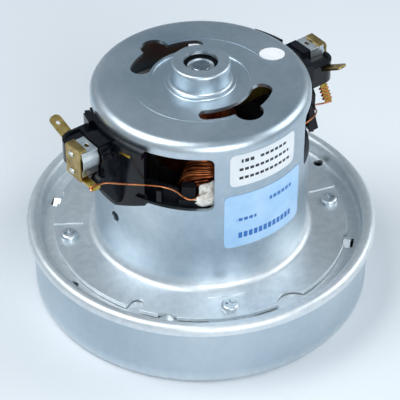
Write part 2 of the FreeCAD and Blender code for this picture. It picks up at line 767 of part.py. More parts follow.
def loop_path(low, high, inner, pitch, turns, spread, corner):
    """One unbroken saddle winding round a pole on +Y: turns grow outwards by the pitch.

    Each turn climbs one slot on two long arcs that carry the pitch, crosses over the pole,
    comes down the other slot and crosses back below."""
    angle = math.radians(spread)
    edges = []

    def side(radius, sign, z):
        return Vector(sign * radius * math.sin(angle), radius * math.cos(angle), z)

    def towards(sign):
        return Vector(-sign * math.cos(angle), math.sin(angle), 0)

    def bend(start, across, lift, leaving):
        """A quarter arc between an upright run and a level one."""
        middle_in = 1 - math.sqrt(0.5)
        middle_out = math.sqrt(0.5)
        if leaving:
            middle = start + across * corner * middle_in + lift * corner * middle_out
        else:
            middle = start + across * corner * middle_out + lift * corner * middle_in
        finish = start + across * corner + lift * corner
        edges.append(Part.Arc(start, middle, finish).toShape())
        return finish

    def cross(start, radius, z, finish):
        """The level arc over the pole."""
        centre = corner / math.sin(angle)
        reach = radius - corner / math.tan(angle)
        edges.append(Part.Arc(start, Vector(0, centre + reach, z), finish).toShape())

    for turn in range(turns):
        radius = inner + turn * pitch
        following = radius + pitch
        low_end, high_end = side(radius, 1, low + corner), side(following, 1, high - corner)
        middle = (low_end + high_end) * 0.5
        run = (high_end.z - low_end.z) / 4
        quarter = Vector(0, 0, run)
        shift = (high_end - low_end)
        shift.z = 0
        first_bow = low_end + quarter + shift * 0.125
        last_bow = high_end - quarter - shift * 0.125
        edges.append(Part.Arc(low_end, first_bow, middle).toShape())
        edges.append(Part.Arc(middle, last_bow, high_end).toShape())
        point = bend(high_end, towards(1), Vector(0, 0, 1), True)
        mirrored = Vector(-point.x, point.y, point.z)
        cross(point, following, point.z, mirrored)
        point = bend(mirrored, -towards(-1), Vector(0, 0, -1), False)
        bottom = side(following, -1, low + corner)
        edges.append(Part.LineSegment(point, bottom).toShape())
        if turn == turns - 1:
            break
        point = bend(bottom, towards(-1), Vector(0, 0, -1), True)
        mirrored = Vector(-point.x, point.y, point.z)
        cross(point, following, point.z, mirrored)
        bend(mirrored, -towards(1), Vector(0, 0, 1), False)
    return Part.Wire(edges)


def tube(path, radius):
    """A round wire along a path, made at the path's first point and square to it."""
    start = path.Edges[0]
    first = start.valueAt(start.FirstParameter)
    tangent = start.tangentAt(start.FirstParameter)
    profile = Part.Wire([Part.makeCircle(float(radius), first, tangent)])
    return path.makePipeShell([profile], True, False)


def least_gap(path, radius, step):
    """The least gap between parts of a wire that are more than two steps apart, on points."""
    count = int(path.Length / step)
    points = path.discretize(Number=count)
    least = path.Length
    for number, point in enumerate(points):
        for other in points[number + 8:]:
            least = min(least, point.distanceToPoint(other))
    return least - 2 * radius


def make_field_coils():
    path = loop_path(float(s.coil_low), float(s.coil_high), float(s.coil_inner), float(s.coil_pitch),
                     int(s.coil_turns), float(s.coil_spread), float(s.coil_corner))
    winding = tube(path, s.coil_wire)
    print(f"field winding: wire radius {float(s.coil_wire)}, corner radius {float(s.coil_corner)}, "
          f"least gap {least_gap(path, float(s.coil_wire), 1.0):.2f}, "
          f"volume ratio {winding.Volume / (math.pi * float(s.coil_wire) ** 2 * path.Length):.4f}")
    play = s.coil_wire + s.coil_play
    outer = s.coil_inner + (s.coil_turns - 1.0) * s.coil_pitch
    inner_side = s.coil_inner - 0.3
    hidden_turn = math.degrees((float(play) + 0.1) / float(s.coil_inner))
    sweep = 2.0 * (s.coil_spread - hidden_turn)
    height = s.coil_high - s.coil_low - play * 2.0
    saddle = ring_sector("coil_saddle", inner_side, outer, height, s.coil_low + play,
                         90.0 - sweep / 2.0, sweep)
    saddle = rounded("coil_saddle_rounded", saddle, s.coil_corner, is_radial)
    neck_half = s.neck_width / 2.0 + s.neck_play
    opening = box("coil_opening", (-neck_half, inner_side - 5.0, s.stack_low - s.neck_play),
                  (neck_half, outer + 5.0, s.stack_high + s.neck_play))
    opening = rounded("coil_opening_rounded", opening, 2.0,
                      lambda edge: abs(edge.Vertexes[0].Point.y - edge.Vertexes[-1].Point.y) > 1e-3)
    packed = cut("coil_packed", saddle, opening)
    for name, turn in (("back", 0.0), ("front", HALF_TURN)):
        keep(f"field_coil_{name}", turned_copy(f"field_coil_{name}", packed, turn))
        solid_node(f"field_winding_{name}", winding, turn)


def make_coil_frames():
    """The moulded rings at both ends of the stack: the upper one has lead posts and guards."""
    outer = s.can_radius - s.can_sheet - 0.3
    levels = {"upper": s.stack_high + 0.1, "lower": s.stack_low - s.frame_sheet - 0.1}
    for name, level in levels.items():
        hoop = ring_sector(f"frame_hoop_{name}", s.frame_inner, outer, s.frame_sheet, level)
        hole = cylinder(f"frame_hole_{name}", s.stator_screw_head + 0.9, s.frame_sheet + 2.0, level - 1.0,
                        x=s.stator_screw_circle)
        holed = cut(f"frame_holed_{name}", hoop, *turned_ring(f"frame_hole_copy_{name}", hole, 2))
        if name == "lower":
            keep(f"coil_frame_{name}", holed)
            continue
        top = level + s.frame_sheet
        base = box("frame_post_base", (s.frame_inner, s.post_width / -2.0 - 1.0, level + 0.2),
                   (outer - 0.5, s.post_width / 2.0 + 1.0, top + s.post_base))
        head = box("frame_post_head", (s.frame_inner, s.post_width / -2.0, top),
                   (outer - 1.1, s.post_width / 2.0, top + s.post_height))
        posts = fuse("frame_post", rounded("frame_post_base_rounded", base, 0.5, is_upright),
                     rounded("frame_post_head_rounded", head, 0.8, is_upright))
        guard = ring_sector("frame_guard", s.frame_inner + 0.4, s.frame_inner + 1.7, s.guard_height,
                            top - 0.2, s.guard_start, s.guard_end - s.guard_start)
        guard = rounded("frame_guard_rounded", guard, 2.0,
                        lambda edge: is_radial(edge) and edge.CenterOfMass.z > float(top) + 2)
        guards = [turned_copy("frame_guard_0", guard, 0.0),
                  turned_copy("frame_guard_1", guard, -s.guard_start - s.guard_end),
                  turned_copy("frame_guard_2", guard, HALF_TURN),
                  turned_copy("frame_guard_3", guard, HALF_TURN - s.guard_start - s.guard_end)]
        placed = [turned_copy(f"frame_post_{number}", posts, turn) for number, turn in
                  enumerate((s.post_turn, HALF_TURN - s.post_turn, HALF_TURN + s.post_turn, -s.post_turn))]
        keep("coil_frame_upper", fuse("coil_frame_upper", holed, *placed, *guards))


def make_coil_insulation():
    """White fibre sheets in two tiers over each coil, standing on the upper frame."""
    tiers = []
    for number, turn in enumerate((90.0, 270.0)):
        start = turn - s.sheet_sweep / 2.0
        low = s.stack_high + s.frame_sheet + 0.2
        tiers.append(ring_sector(f"insulation_low_{number}", s.sheet_outer - s.sheet_thickness * 1.6,
                                 s.sheet_outer, s.sheet_step, low, start, s.sheet_sweep))
        tiers.append(ring_sector(f"insulation_high_{number}", s.sheet_radius,
                                 s.sheet_outer - s.sheet_thickness, s.sheet_rise, low, start + 1.5,
                                 s.sheet_sweep - 3.0))
    keep("coil_insulation", fuse("coil_insulation", *tiers))


# Rotor


def make_shaft():
    upper_low = s.upper_top - s.upper_width
    shaft = turned("shaft", [
        (0.0, s.shaft_end), (s.shaft_radius, s.shaft_end), (s.shaft_radius, upper_low),
        (s.journal_radius, upper_low), (s.journal_radius, s.shaft_top), (0.0, s.shaft_top),
    ], [(s.shaft_radius, s.shaft_end, 0.5), (s.journal_radius, s.shaft_top, 0.5)])
    keep("shaft", shaft)


def make_armature():
    height = s.stack_high - s.stack_low
    drum = ring_sector("armature_drum", s.shaft_radius + s.fit, s.armature_radius, height, s.stack_low)
    mouth = box("armature_slot_mouth", (s.armature_radius - s.slot_depth, s.slot_opening / -2.0,
                                        s.stack_low - 1.0),
                (s.armature_radius + 1.0, s.slot_opening / 2.0, s.stack_high + 1.0))
    bulb = cylinder("armature_slot_bulb", s.slot_bulb, height + 2.0, s.stack_low - 1.0,
                    x=s.armature_radius - s.slot_depth)
    slot = fuse("armature_slot", mouth, bulb)
    keep("armature_core", cut("armature_core", drum,
                              *turned_ring("armature_slot_copy", slot, s.armature_slots)))
    gap = 0.1
    bore = s.shaft_radius + s.fit
    shoulder = 3.0
    low = turned("armature_winding_low", [
        (bore, s.winding_low), (s.winding_radius - shoulder, s.winding_low),
        (s.winding_radius, s.winding_low + shoulder), (s.winding_radius, s.stack_low - gap),
        (bore, s.stack_low - gap)], [(s.winding_radius, s.winding_low + shoulder, 2.0)])
    neck = s.riser_radius
    high = turned("armature_winding_high", [
        (bore, s.stack_high + gap), (s.winding_radius, s.stack_high + gap),
        (s.winding_radius, s.winding_top - shoulder), (neck, s.winding_top), (bore, s.winding_top)],
        [(s.winding_radius, s.winding_top - shoulder, 2.0)])
    wire = cylinder("slot_wire", s.slot_bulb - 0.2, height + 4.0, s.stack_low - 2.0,
                    x=s.armature_radius - s.slot_depth)
    keep("armature_winding", fuse("armature_winding", low, high,
                                  *turned_ring("slot_wire_copy", wire, s.armature_slots)))


def make_commutator():
    bars = turned("commutator_bars_turned", [
        (s.commutator_bore, s.commutator_low), (s.riser_radius, s.commutator_low),
        (s.riser_radius, s.commutator_low + s.riser_height),
        (s.commutator_radius, s.commutator_low + s.riser_height),
        (s.commutator_radius, s.commutator_high), (s.commutator_bore, s.commutator_high)])
    groove = box("bar_groove", (s.commutator_radius - 1.4, s.bar_gap / -2.0, s.commutator_low - 1.0),
                 (s.riser_radius + 1.0, s.bar_gap / 2.0, s.commutator_high + 1.0))
    keep("commutator_bars", cut("commutator_bars", bars,
                                *turned_ring("bar_groove_copy", groove, s.commutator_bars)))
    bore = s.shaft_radius + s.fit
    rim = s.commutator_bore - s.fit
    keep("commutator_hub", turned("commutator_hub", [
        (bore, s.winding_top + 0.1), (rim, s.winding_top + 0.1), (rim, s.commutator_high),
        (rim - 1.5, s.hub_top), (bore, s.hub_top)]))


def make_bearing(name, bore, outer, width, low):
    """A deep groove ball bearing: two rings with their raceways, the balls in a cage and two shields."""
    middle = low + width / 2.0
    pitch = (bore + outer) / 2.0 + 0.05
    track = s.ball_radius + s.race_play
    inner_land = pitch - s.ball_radius * 0.8
    outer_land = pitch + s.ball_radius * 0.8
    race = doc.addObject("Part::Torus", f"{name}_race")
    bind(race, "Radius1", pitch)
    bind(race, "Radius2", track)
    place(race, z=middle)
    keep(f"{name}_bearing_inner_ring", cut(f"{name}_bearing_inner_ring",
         ring_sector(f"{name}_inner_blank", bore, inner_land, width, low), race))
    keep(f"{name}_bearing_outer_ring", cut(f"{name}_bearing_outer_ring",
         ring_sector(f"{name}_outer_blank", outer_land, outer, width, low), race))
    ball = Part.makeSphere(float(s.ball_radius), polar(pitch, 0, middle))
    cage_half = s.cage_width / 2.0
    pocket = Part.makeCylinder(float(track), float(s.cage_width) + 2.0,
                               polar(pitch - cage_half - 1.0, 0, middle), Vector(1, 0, 0))
    cage = ring_solid(pitch - cage_half, pitch + cage_half, s.cage_height, middle - s.cage_height / 2.0)
    cage.rotate(Vector(), Z_AXIS, HALF_TURN / float(s.ball_count))
    cage = cage.cut(ring_of(pocket, s.ball_count))
    solid_node(f"{name}_bearing_balls",
               Part.makeCompound(ring_of(ball, s.ball_count).Solids + cage.Solids))
    edge = 0.15
    shields = [ring_sector(f"{name}_shield_{number}", inner_land + edge, outer_land - 0.02,
                           s.shield_thickness, level)
               for number, level in enumerate((low + 0.3, low + width - s.shield_thickness - 0.3))]
    keep(f"{name}_bearing_shields", fuse(f"{name}_bearing_shields", *shields))


def make_bearings():
    make_bearing("upper", s.journal_radius + s.fit, s.upper_outer, s.upper_width,
                 s.upper_top - s.upper_width)
    make_bearing("lower", s.shaft_radius + s.fit, s.lower_outer, s.lower_width, s.lower_low)
    under_boss = s.boss_top - s.can_sheet
    gap = 0.1
    keep("wave_washer", ring_sector("wave_washer", s.upper_outer - 1.3, s.upper_outer - 0.1,
                                    under_boss - s.upper_top - gap * 2.0, s.upper_top + gap))


def make_shaft_stack():
    """Nut, washers and spacers that clamp the impeller and the lower bearing on the shaft."""
    bore = s.shaft_radius + s.fit
    back_high = s.back_plate_low + s.impeller_sheet
    lower_washer = s.back_plate_low - s.fan_washer_sheet
    nut = doc.addObject("Part::Prism", "fan_nut_blank")
    nut.Polygon = 6
    bind(nut, "Circumradius", s.nut_across / math.sqrt(3))
    bind(nut, "Height", s.nut_height)
    place(nut, z=lower_washer - s.nut_height)
    keep("fan_nut", cut("fan_nut", nut, cylinder("fan_nut_bore", bore, s.nut_height,
                                                 lower_washer - s.nut_height)))
    keep("fan_washer_lower", ring_sector("fan_washer_lower", bore, s.fan_washer_radius,
                                         s.fan_washer_sheet, lower_washer))
    keep("fan_washer_upper", ring_sector("fan_washer_upper", bore, s.fan_washer_radius,
                                         s.fan_washer_sheet - 0.2, back_high))
    washer_high = back_high + s.fan_washer_sheet - 0.2
    keep("fan_spacer", ring_sector("fan_spacer", bore, s.spacer_radius, s.lower_low - washer_high,
                                   washer_high))
    lower_high = s.lower_low + s.lower_width
    keep("armature_spacer", ring_sector("armature_spacer", bore, s.spacer_radius,
                                        s.winding_low - lower_high, lower_high))


# Fan stage


def vane_shape(inner, outer, bow, thickness, low, high):
    """One vane bent back along an arc from the inner circle to the outer one."""
    start, finish = polar(inner, 0), polar(outer, 52)
    chord = finish - start
    across = Vector(-chord.y, chord.x, 0).normalize()
    sag = bow - math.sqrt(bow * bow - (chord.Length / 2) ** 2)
    half = across * (thickness / 2)
    middle = (start + finish) * 0.5 - across * sag
    near = Part.Arc(start - half, middle - half, finish - half).toShape()
    far = Part.Arc(start + half, middle + half, finish + half).toShape()
    ends = [Part.LineSegment(finish - half, finish + half).toShape(),
            Part.LineSegment(start + half, start - half).toShape()]
    face = Part.Face(Part.Wire(Part.__sortEdges__([near, ends[0], far, ends[1]])))
    vane = face.extrude(Vector(0, 0, high - low))
    vane.translate(Vector(0, 0, low))
    return vane


def make_impeller():
    sheet_up = s.impeller_sheet
    rim_low = s.front_rim_low
    front = turned("impeller_front_plate", [
        (s.eye_radius, s.impeller_low), (s.eye_radius + 3.0, s.impeller_low),
        (s.impeller_radius, rim_low), (s.impeller_radius, rim_low + sheet_up),
        (s.eye_radius + 3.0, s.impeller_low + sheet_up), (s.eye_radius, s.impeller_low + sheet_up)])
    keep("impeller_front_plate", front)
    keep("impeller_back_plate", ring_sector("impeller_back_plate", s.shaft_radius + s.fit,
                                            s.impeller_radius, sheet_up, s.back_plate_low))
    doc.recompute()
    vane = vane_shape(float(s.vane_inner), float(s.impeller_radius) - 0.6, float(s.vane_radius) * 1.2,
                      float(s.vane_thickness), float(s.impeller_low) + float(sheet_up) + 0.05,
                      float(s.back_plate_low) - 0.05)
    slope = (float(rim_low) - float(s.impeller_low)) / (float(s.impeller_radius - s.eye_radius) - 3.0)
    gap = float(sheet_up) + 0.1
    inner = float(s.eye_radius) + 3.0
    section = [Vector(0, 0, -5), Vector(float(s.impeller_radius) + 5, 0, -5),
               Vector(float(s.impeller_radius) + 5, 0,
                      float(rim_low) + gap + 5 * slope), Vector(inner, 0, float(s.impeller_low) + gap),
               Vector(0, 0, float(s.impeller_low) + gap)]
    cone = Part.Face(Part.makePolygon(section + [section[0]])).revolve(Vector(), Z_AXIS, FULL_TURN)
    solid_node("impeller_vanes", ring_of(vane.cut(cone), s.vane_count))


def make_diffuser():
    hub_inner = s.lower_outer + s.cup_wall + 0.3
    hub_outer = hub_inner + 1.5
    top = s.floor_top - s.bracket_sheet - s.diffuser_play
    plate = turned("diffuser_plate", [
        (hub_inner, s.diffuser_low), (DIFFUSER_RADIUS, s.diffuser_low),
        (DIFFUSER_RADIUS, s.diffuser_low + s.diffuser_sheet),
        (hub_outer, s.diffuser_low + s.diffuser_sheet), (hub_outer, top), (hub_inner, top)])
    doc.recompute()
    vane = vane_shape(float(hub_outer) + 3.0, float(DIFFUSER_RADIUS) - 1.2, float(s.return_radius),
                      float(s.return_thickness), float(s.diffuser_low) + 0.5, float(top))
    solid_node("diffuser", plate.Shape.multiFuse(ring_of(vane, s.return_vanes).Solids).removeSplitter())


# Brush gear, made on +X and turned to its side


def make_tube(side, turn):
    half_width = s.brush_width / 2.0 + s.brush_play + s.tube_wall
    half_depth = s.brush_depth / 2.0 + s.brush_play + s.tube_wall
    low, high = s.brush_height - half_depth, s.brush_height + half_depth
    wall = s.tube_wall
    outside = box(f"tube_outside_{side}", (s.tube_start, -half_width, low), (TUBE_END, half_width, high))
    inside = box(f"tube_inside_{side}", (s.tube_start - 1.0, wall - half_width, low + wall),
                 (TUBE_END + 1.0, half_width - wall, high - wall))
    rounded_tube = rounded(f"tube_rounded_{side}", outside, 0.8, is_along_brush)
    keep(f"brush_tube_{side}", turned_copy(f"brush_tube_{side}",
                                           cut(f"tube_{side}", rounded_tube, inside), turn))


def is_along_brush(edge):
    run = edge.Vertexes[-1].Point - edge.Vertexes[0].Point
    return abs(run.x) > 1e-6 and Vector(0, run.y, run.z).Length < 1e-6


def make_brush(side, turn):
    half_width, half_depth = s.brush_width / 2.0, s.brush_depth / 2.0
    face = s.commutator_radius + s.brush_gap
    block = box(f"brush_block_{side}", (s.commutator_radius - 2.0, -half_width, s.brush_height - half_depth),
                (face + s.brush_length, half_width, s.brush_height + half_depth))
    hollow = cylinder(f"brush_face_{side}", face, s.brush_depth + 2.0, s.brush_height - half_depth - 1.0)
    keep(f"carbon_brush_{side}", turned_copy(f"carbon_brush_{side}",
                                             cut(f"brush_{side}", block, hollow), turn))
    start = float(face + s.brush_length) + 0.05
    length = float(TUBE_END) - start - 0.05
    outer, inner = float(s.spring_radius), float(s.spring_radius - s.spring_wire * 2.0)
    middle = Vector(start, 0, float(s.brush_height))
    spring = (Part.makeCylinder(outer, length, middle, Vector(1, 0, 0))
              .cut(Part.makeCylinder(inner, length, middle, Vector(1, 0, 0))))
    solid_node(f"brush_spring_{side}", spring, turn)


def make_end_plate(side, turn):
    """The brass plate that closes the tube, with its flap folded in over the clip."""
    high = s.brush_height + s.brush_depth / 2.0 + s.brush_play + s.tube_wall + s.clip_sheet + 0.2
    start = TUBE_END + 0.05
    stop = start + s.end_plate_sheet
    plate = box(f"end_plate_{side}", (start, -s.end_plate_back, s.end_plate_low),
                (stop, s.end_plate_front, high))
    flap = box(f"end_flap_{side}", (stop - s.flap_length, -s.end_plate_back + 0.6, high),
               (stop, s.end_plate_front - 0.3, high + s.end_plate_sheet))
    tongues = [box(f"end_tongue_{side}_{number}", (stop - 0.2, -s.tongue_width, low),
                   (stop + s.tongue_rise, 0.0, low + s.tongue_height))
               for number, low in enumerate((s.end_plate_low + s.tongue_low, high - s.tongue_drop))]
    folded = fuse(f"end_folded_{side}", plate, flap, *tongues)
    folded = rounded(f"end_rounded_{side}", folded, 0.45, lambda edge: is_level_across(edge)
                     and edge.CenterOfMass.x > float(stop) - 1e-3
                     and edge.CenterOfMass.z > float(high))
    keep(f"brush_cap_{side}", turned_copy(f"brush_cap_{side}", folded, turn))


def is_level_across(edge):
    run = edge.Vertexes[-1].Point - edge.Vertexes[0].Point
    return abs(run.y) > 1e-6 and Vector(run.x, 0, run.z).Length < 1e-6


def make_clip(side, turn):
    """The bright steel clip: a cap over the tube with a kinked front leg and a short back leg."""
    inner = s.brush_width / 2.0 + s.brush_play + s.tube_wall + 0.1
    roof, leg_low = CLIP_ROOF, LEG_LOW
    skin, kink = s.clip_sheet, s.clip_kink
    back_low = roof - s.clip_back_drop
    outline = [
        (-inner, roof), (inner, roof), (inner, roof - 1.4), (inner + kink, roof - 2.6),
        (inner + kink, roof - 6.0), (inner, roof - 7.4), (inner, leg_low), (inner + skin, leg_low),
        (inner + skin, roof - 7.2), (inner + kink + skin, roof - 5.8), (inner + kink + skin, roof - 2.4),
        (inner + skin, roof - 1.2), (inner + skin, roof + skin), (-inner - skin, roof + skin),
        (-inner - skin, roof - 0.8), (-inner - skin - kink, back_low), (-inner - kink, back_low),
        (-inner, roof - 1.0)]
    clip = pushed(f"clip_{side}", outline, "YZ_Plane", CLIP_START, TUBE_END)
    slots = [box(f"clip_slot_{side}_{number}", (start, -0.5, roof - 1.0), (start + 1.5, 1.6, roof + 2.0))
             for number, start in enumerate((CLIP_START + 1.4, CLIP_START + 3.9))]
    keep(f"brush_clip_{side}", turned_copy(f"brush_clip_{side}", cut(f"clip_slotted_{side}", clip, *slots),
                                           turn))


def make_terminal(side, turn):
    """The flat blade that leans up and out of the holder's arm."""
    blade = Part.makeBox(float(s.terminal_width), float(s.terminal_length), float(s.terminal_sheet),
                         Vector(float(s.terminal_width) / -2, -float(s.terminal_length), 0))
    tip = [edge for edge in blade.Edges if is_upright(edge)
           and edge.CenterOfMass.y < 1 - float(s.terminal_length)]
    blade = blade.makeFillet(float(s.terminal_width) * 0.38, tip)
    hole = Part.makeCylinder(float(s.terminal_hole), 4,
                             Vector(0, 3.2 - float(s.terminal_length), -1))
    blade = blade.cut(hole)
    blade.Placement = terminal_placement()
    solid_node(f"blade_terminal_{side}", blade, turn)


def terminal_placement():
    root = Vector(float(ARM_OUT) - 6.2, -float(s.arm_front), float(s.brush_height) - 2.8)
    lean = Rotation(Z_AXIS, float(s.terminal_lean))
    lift = Rotation(Vector(1, 0, 0), -float(s.terminal_lift))
    return Placement(root, lean.multiply(lift))


def make_holder(side, turn):
    """The moulded holder: a plate that hugs the can, the block round the tube and the hollow arm."""
    plate_inner = s.can_radius + s.plate_play
    plate_outer = plate_inner + s.plate_thickness
    half_width = s.brush_width / 2.0 + s.brush_play + s.tube_wall + s.holder_play
    half_depth = s.brush_depth / 2.0 + s.brush_play + s.tube_wall + s.holder_play
    tube_low, tube_high = s.brush_height - half_depth, s.brush_height + half_depth
    pieces = holder_plate(side, plate_inner, plate_outer)
    block = pushed(f"block_{side}", [
        (plate_inner - 2.0, s.shelf_top), (RIDGE_START, s.shelf_top), (RIDGE_START, s.block_top),
        (s.block_out, s.block_top), (s.block_out, BLOCK_NOSE), (s.block_heel, s.block_low),
        (plate_inner - 2.0, s.block_low)], "XZ_Plane", -s.block_front, s.ridge_back)
    inner_block = pushed(f"inner_block_{side}", [
        (plate_inner - 2.0, s.arm_top), (s.block_out - 3.0, s.arm_top), (s.block_heel, s.block_low),
        (plate_inner - 2.0, s.block_low)], "XZ_Plane", s.ridge_back - 0.5, s.block_back)
    block = cut(f"block_trimmed_{side}", fuse(f"block_joined_{side}", block, inner_block),
                cylinder(f"block_limit_{side}", plate_inner, s.plate_high - s.skirt_low + 10.0,
                         s.skirt_low - 5.0))
    arm = box(f"arm_{side}", (plate_inner + 1.0, -s.arm_back, s.arm_low),
              (ARM_OUT, -s.ridge_back, s.arm_top))
    arm = rounded(f"arm_rounded_{side}", arm, s.arm_corner, lambda edge: is_upright(edge)
                  and edge.CenterOfMass.x > float(ARM_OUT) - 1e-3
                  and edge.CenterOfMass.y < -float(s.arm_front) - 1e-3)
    pocket = box(f"pocket_{side}", (RIDGE_START + 1.2, s.arm_wall - s.arm_back, s.arm_top - s.pocket_depth),
                 (ARM_OUT - s.arm_wall, -s.ridge_back, s.arm_top + 3.0))
    pocket = rounded(f"pocket_rounded_{side}", pocket, s.arm_corner - s.arm_wall,
                     lambda edge: is_upright(edge)
                     and edge.CenterOfMass.x > float(ARM_OUT - s.arm_wall) - 1e-3
                     and edge.CenterOfMass.y < -float(s.arm_front) - 1e-3)
    guide_inner = s.can_radius - s.can_sheet - 6.0
    guide = box(f"guide_{side}", (guide_inner, half_width * -1.0 - 2.4, tube_low - 2.2),
                (plate_inner + 1.0, half_width + 2.4, s.window_high - 0.5))
    slope = s.shoulder_fall / (s.block_front - s.shoulder_start)
    past_front = s.block_front + 1.0
    shoulder = pushed(f"shoulder_{side}", [
        (s.shoulder_start, s.block_top), (s.shoulder_start, s.block_top + 2.0),
        (past_front, s.block_top + 2.0),
        (past_front, s.block_top - (past_front - s.shoulder_start) * slope)],
        "YZ_Plane", plate_outer + 0.2, s.block_out + 1.0)
    block = cut(f"block_sloped_{side}", block, shoulder)
    ribs = []
    for number in range(3):
        across = s.shoulder_start + 0.5 + s.rib_pitch * number
        top = s.block_top - (across - s.shoulder_start) * slope + s.rib_rise
        ribs.append(box(f"rib_{side}_{number}", (plate_outer + 0.4, across, top - 1.6),
                        (CLIP_START - 0.4, across + s.rib_width, top)))
    boss = doc.addObject("Part::Cylinder", f"boss_{side}")
    boss.Radius = 2.5
    bind(boss, "Height", 4.4)
    boss.Placement = Placement(Vector(float(s.block_out) - 0.4, float(s.block_front) - 3.6,
                                      float(BLOCK_NOSE) + 3.0), Rotation(Vector(1, 0, 0), -90))
    body = fuse(f"holder_body_{side}", *pieces, block, arm, guide, *ribs, boss)
    channel = box(f"channel_{side}", (guide_inner - 1.0, -half_width, tube_low),
                  (TUBE_END + 2.0, half_width, tube_high))
    crown = box(f"crown_{side}", (CLIP_START - 0.4, -s.arm_front - 1.0, s.arm_top - 3.2),
                (TUBE_END + 2.0, 0.0, s.block_top + 2.0))
    leg_room = box(f"leg_room_{side}", (CLIP_START - 0.4, 0.0, LEG_LOW - 0.1),
                   (TUBE_END + 2.0, s.block_front + 2.0, s.block_top + 2.0))
    slot = Part.makeBox(float(s.terminal_width) + 0.2, float(s.terminal_length) + 1.0,
                        float(s.terminal_sheet) + 0.2,
                        Vector(float(s.terminal_width) / -2 - 0.1, -float(s.terminal_length), -0.1))
    slot.Placement = terminal_placement()
    blade_slot = doc.addObject("Part::Feature", f"blade_slot_{side}")
    blade_slot.Shape = slot
    holder = cut(f"holder_{side}", body, channel, crown, leg_room, pocket, blade_slot)
    keep(f"brush_holder_{side}", turned_copy(f"brush_holder_{side}", holder, turn))


def holder_plate(side, plate_inner, plate_outer):
    """The curved plate with its lead hook, top lip, heel, foot and the two keys in the window."""
    height = s.plate_high - s.skirt_low
    sweep = s.plate_front + s.plate_back
    plate = ring_sector(f"plate_{side}", plate_inner, plate_outer, height, s.skirt_low,
                        -s.plate_back, sweep)
    reach_front, reach_back = s.can_radius * 0.6, s.can_radius * 0.7
    skirt = pushed(f"skirt_{side}", [
        (-reach_back, s.plate_back_high), (-s.heel_back, s.plate_back_high), (-s.heel_back, s.plate_high),
        (reach_front, s.plate_high), (reach_front, s.plate_low),
        (reach_front - 6.0, s.plate_low), (4.0, s.skirt_low), (-6.0, s.skirt_low),
        (reach_back * -0.7, s.plate_low + 0.4), (-reach_back, s.plate_low + 0.4)],
        "YZ_Plane", s.can_radius - 15.0, s.can_radius + 8.0)
    plate = common(f"plate_trimmed_{side}", plate, skirt)
    ledge_start = s.plate_front - 4.5
    ledge = ring_sector(f"ledge_{side}", plate_inner, plate_outer + 1.1, 1.1, s.plate_low + 2.5,
                        ledge_start, s.hook_end - ledge_start)
    apron = ring_sector(f"apron_{side}", plate_inner, plate_outer, 1.6, s.plate_low + 1.7,
                        s.plate_front - 1.0, s.hook_end - s.plate_front - 1.6)
    curl = ring_sector(f"curl_{side}", plate_inner, plate_outer + 0.7, s.hook_rise, s.plate_low + 2.5,
                       s.hook_end - 2.4, 2.4)
    lip = ring_sector(f"lip_{side}", plate_inner, plate_outer + 1.8, s.lip_height,
                      s.plate_high - s.lip_height, s.lip_start, s.plate_front - s.lip_start)
    heel_end = math.degrees(math.asin(float(s.heel_back) / float(s.can_radius)))
    heel = ring_sector(f"heel_{side}", plate_inner, plate_outer + 1.9, 7.0, s.plate_high - 7.0,
                       -heel_end, 7.0)
    foot = pushed(f"foot_{side}", [
        (plate_inner + 1.0, s.plate_low + 0.4), (plate_outer + 1.7, s.plate_low + 1.9),
        (plate_outer - 0.1, s.plate_low + 9.9), (plate_inner + 1.0, s.plate_low + 9.9)], "XZ_Plane",
        -1.6, 1.6)
    foot = turned_copy(f"foot_placed_{side}", foot, 2.4 - s.plate_back)
    keys = [ring_sector(f"key_{side}_{number}", s.can_radius - s.can_sheet - 0.4, plate_inner + 0.4,
                        s.window_high - s.window_low - 1.2, s.window_low + 0.6, start, 3.0)
            for number, start in enumerate((-s.plate_back + 6.0, s.plate_front - 9.0))]
    return [plate, ledge, apron, curl, lip, heel, foot, *keys]


def strip(start, finish, out, width, thickness):
    """A flat strip across the holder between two points (across, up), with its outer edge at out."""
    first, last = Vector(0, start[0], start[1]), Vector(0, finish[0], finish[1])
    run = last - first
    up = Vector(0, -run.z, run.y).normalize() * thickness
    corners = [first, last, last + up, first + up, first]
    face = Part.Face(Part.makePolygon(corners))
    solid = face.extrude(Vector(width, 0, 0))
    solid.translate(Vector(out - width, 0, 0))
    return solid


def make_lead_tab(side, turn):
    """The brass tab under the tube that the field lead is wound on."""
    seat = float(s.brush_height - s.brush_depth / 2.0 - s.brush_play - s.tube_wall - s.tab_sheet) - 0.05
    sheet_up, width, out = float(s.tab_sheet), float(s.tab_width), float(TUBE_END)
    if side == "left":
        tab = strip((-2.0, seat), (10.8, seat), out, width, sheet_up)
        bent = strip((10.2, seat), (10.8, seat), out, width, 1.5)
    else:
        tab = strip((-3.9, seat), (3.4, seat), out, width, sheet_up)
        bent = strip((-10.0, seat - 10.6), (-3.2, seat + 0.3), out, width, sheet_up)
    tab = tab.fuse(bent).removeSplitter()
    outside = s.can_radius + s.plate_play + s.plate_thickness + 0.05
    contact = ring_solid(outside, outside + s.tab_sheet, 2.2, s.plate_high - s.lip_height - 2.3, 11.0, 6.2)
    solid_node(f"lead_tab_{side}", Part.makeCompound(tab.Solids + contact.Solids), turn)


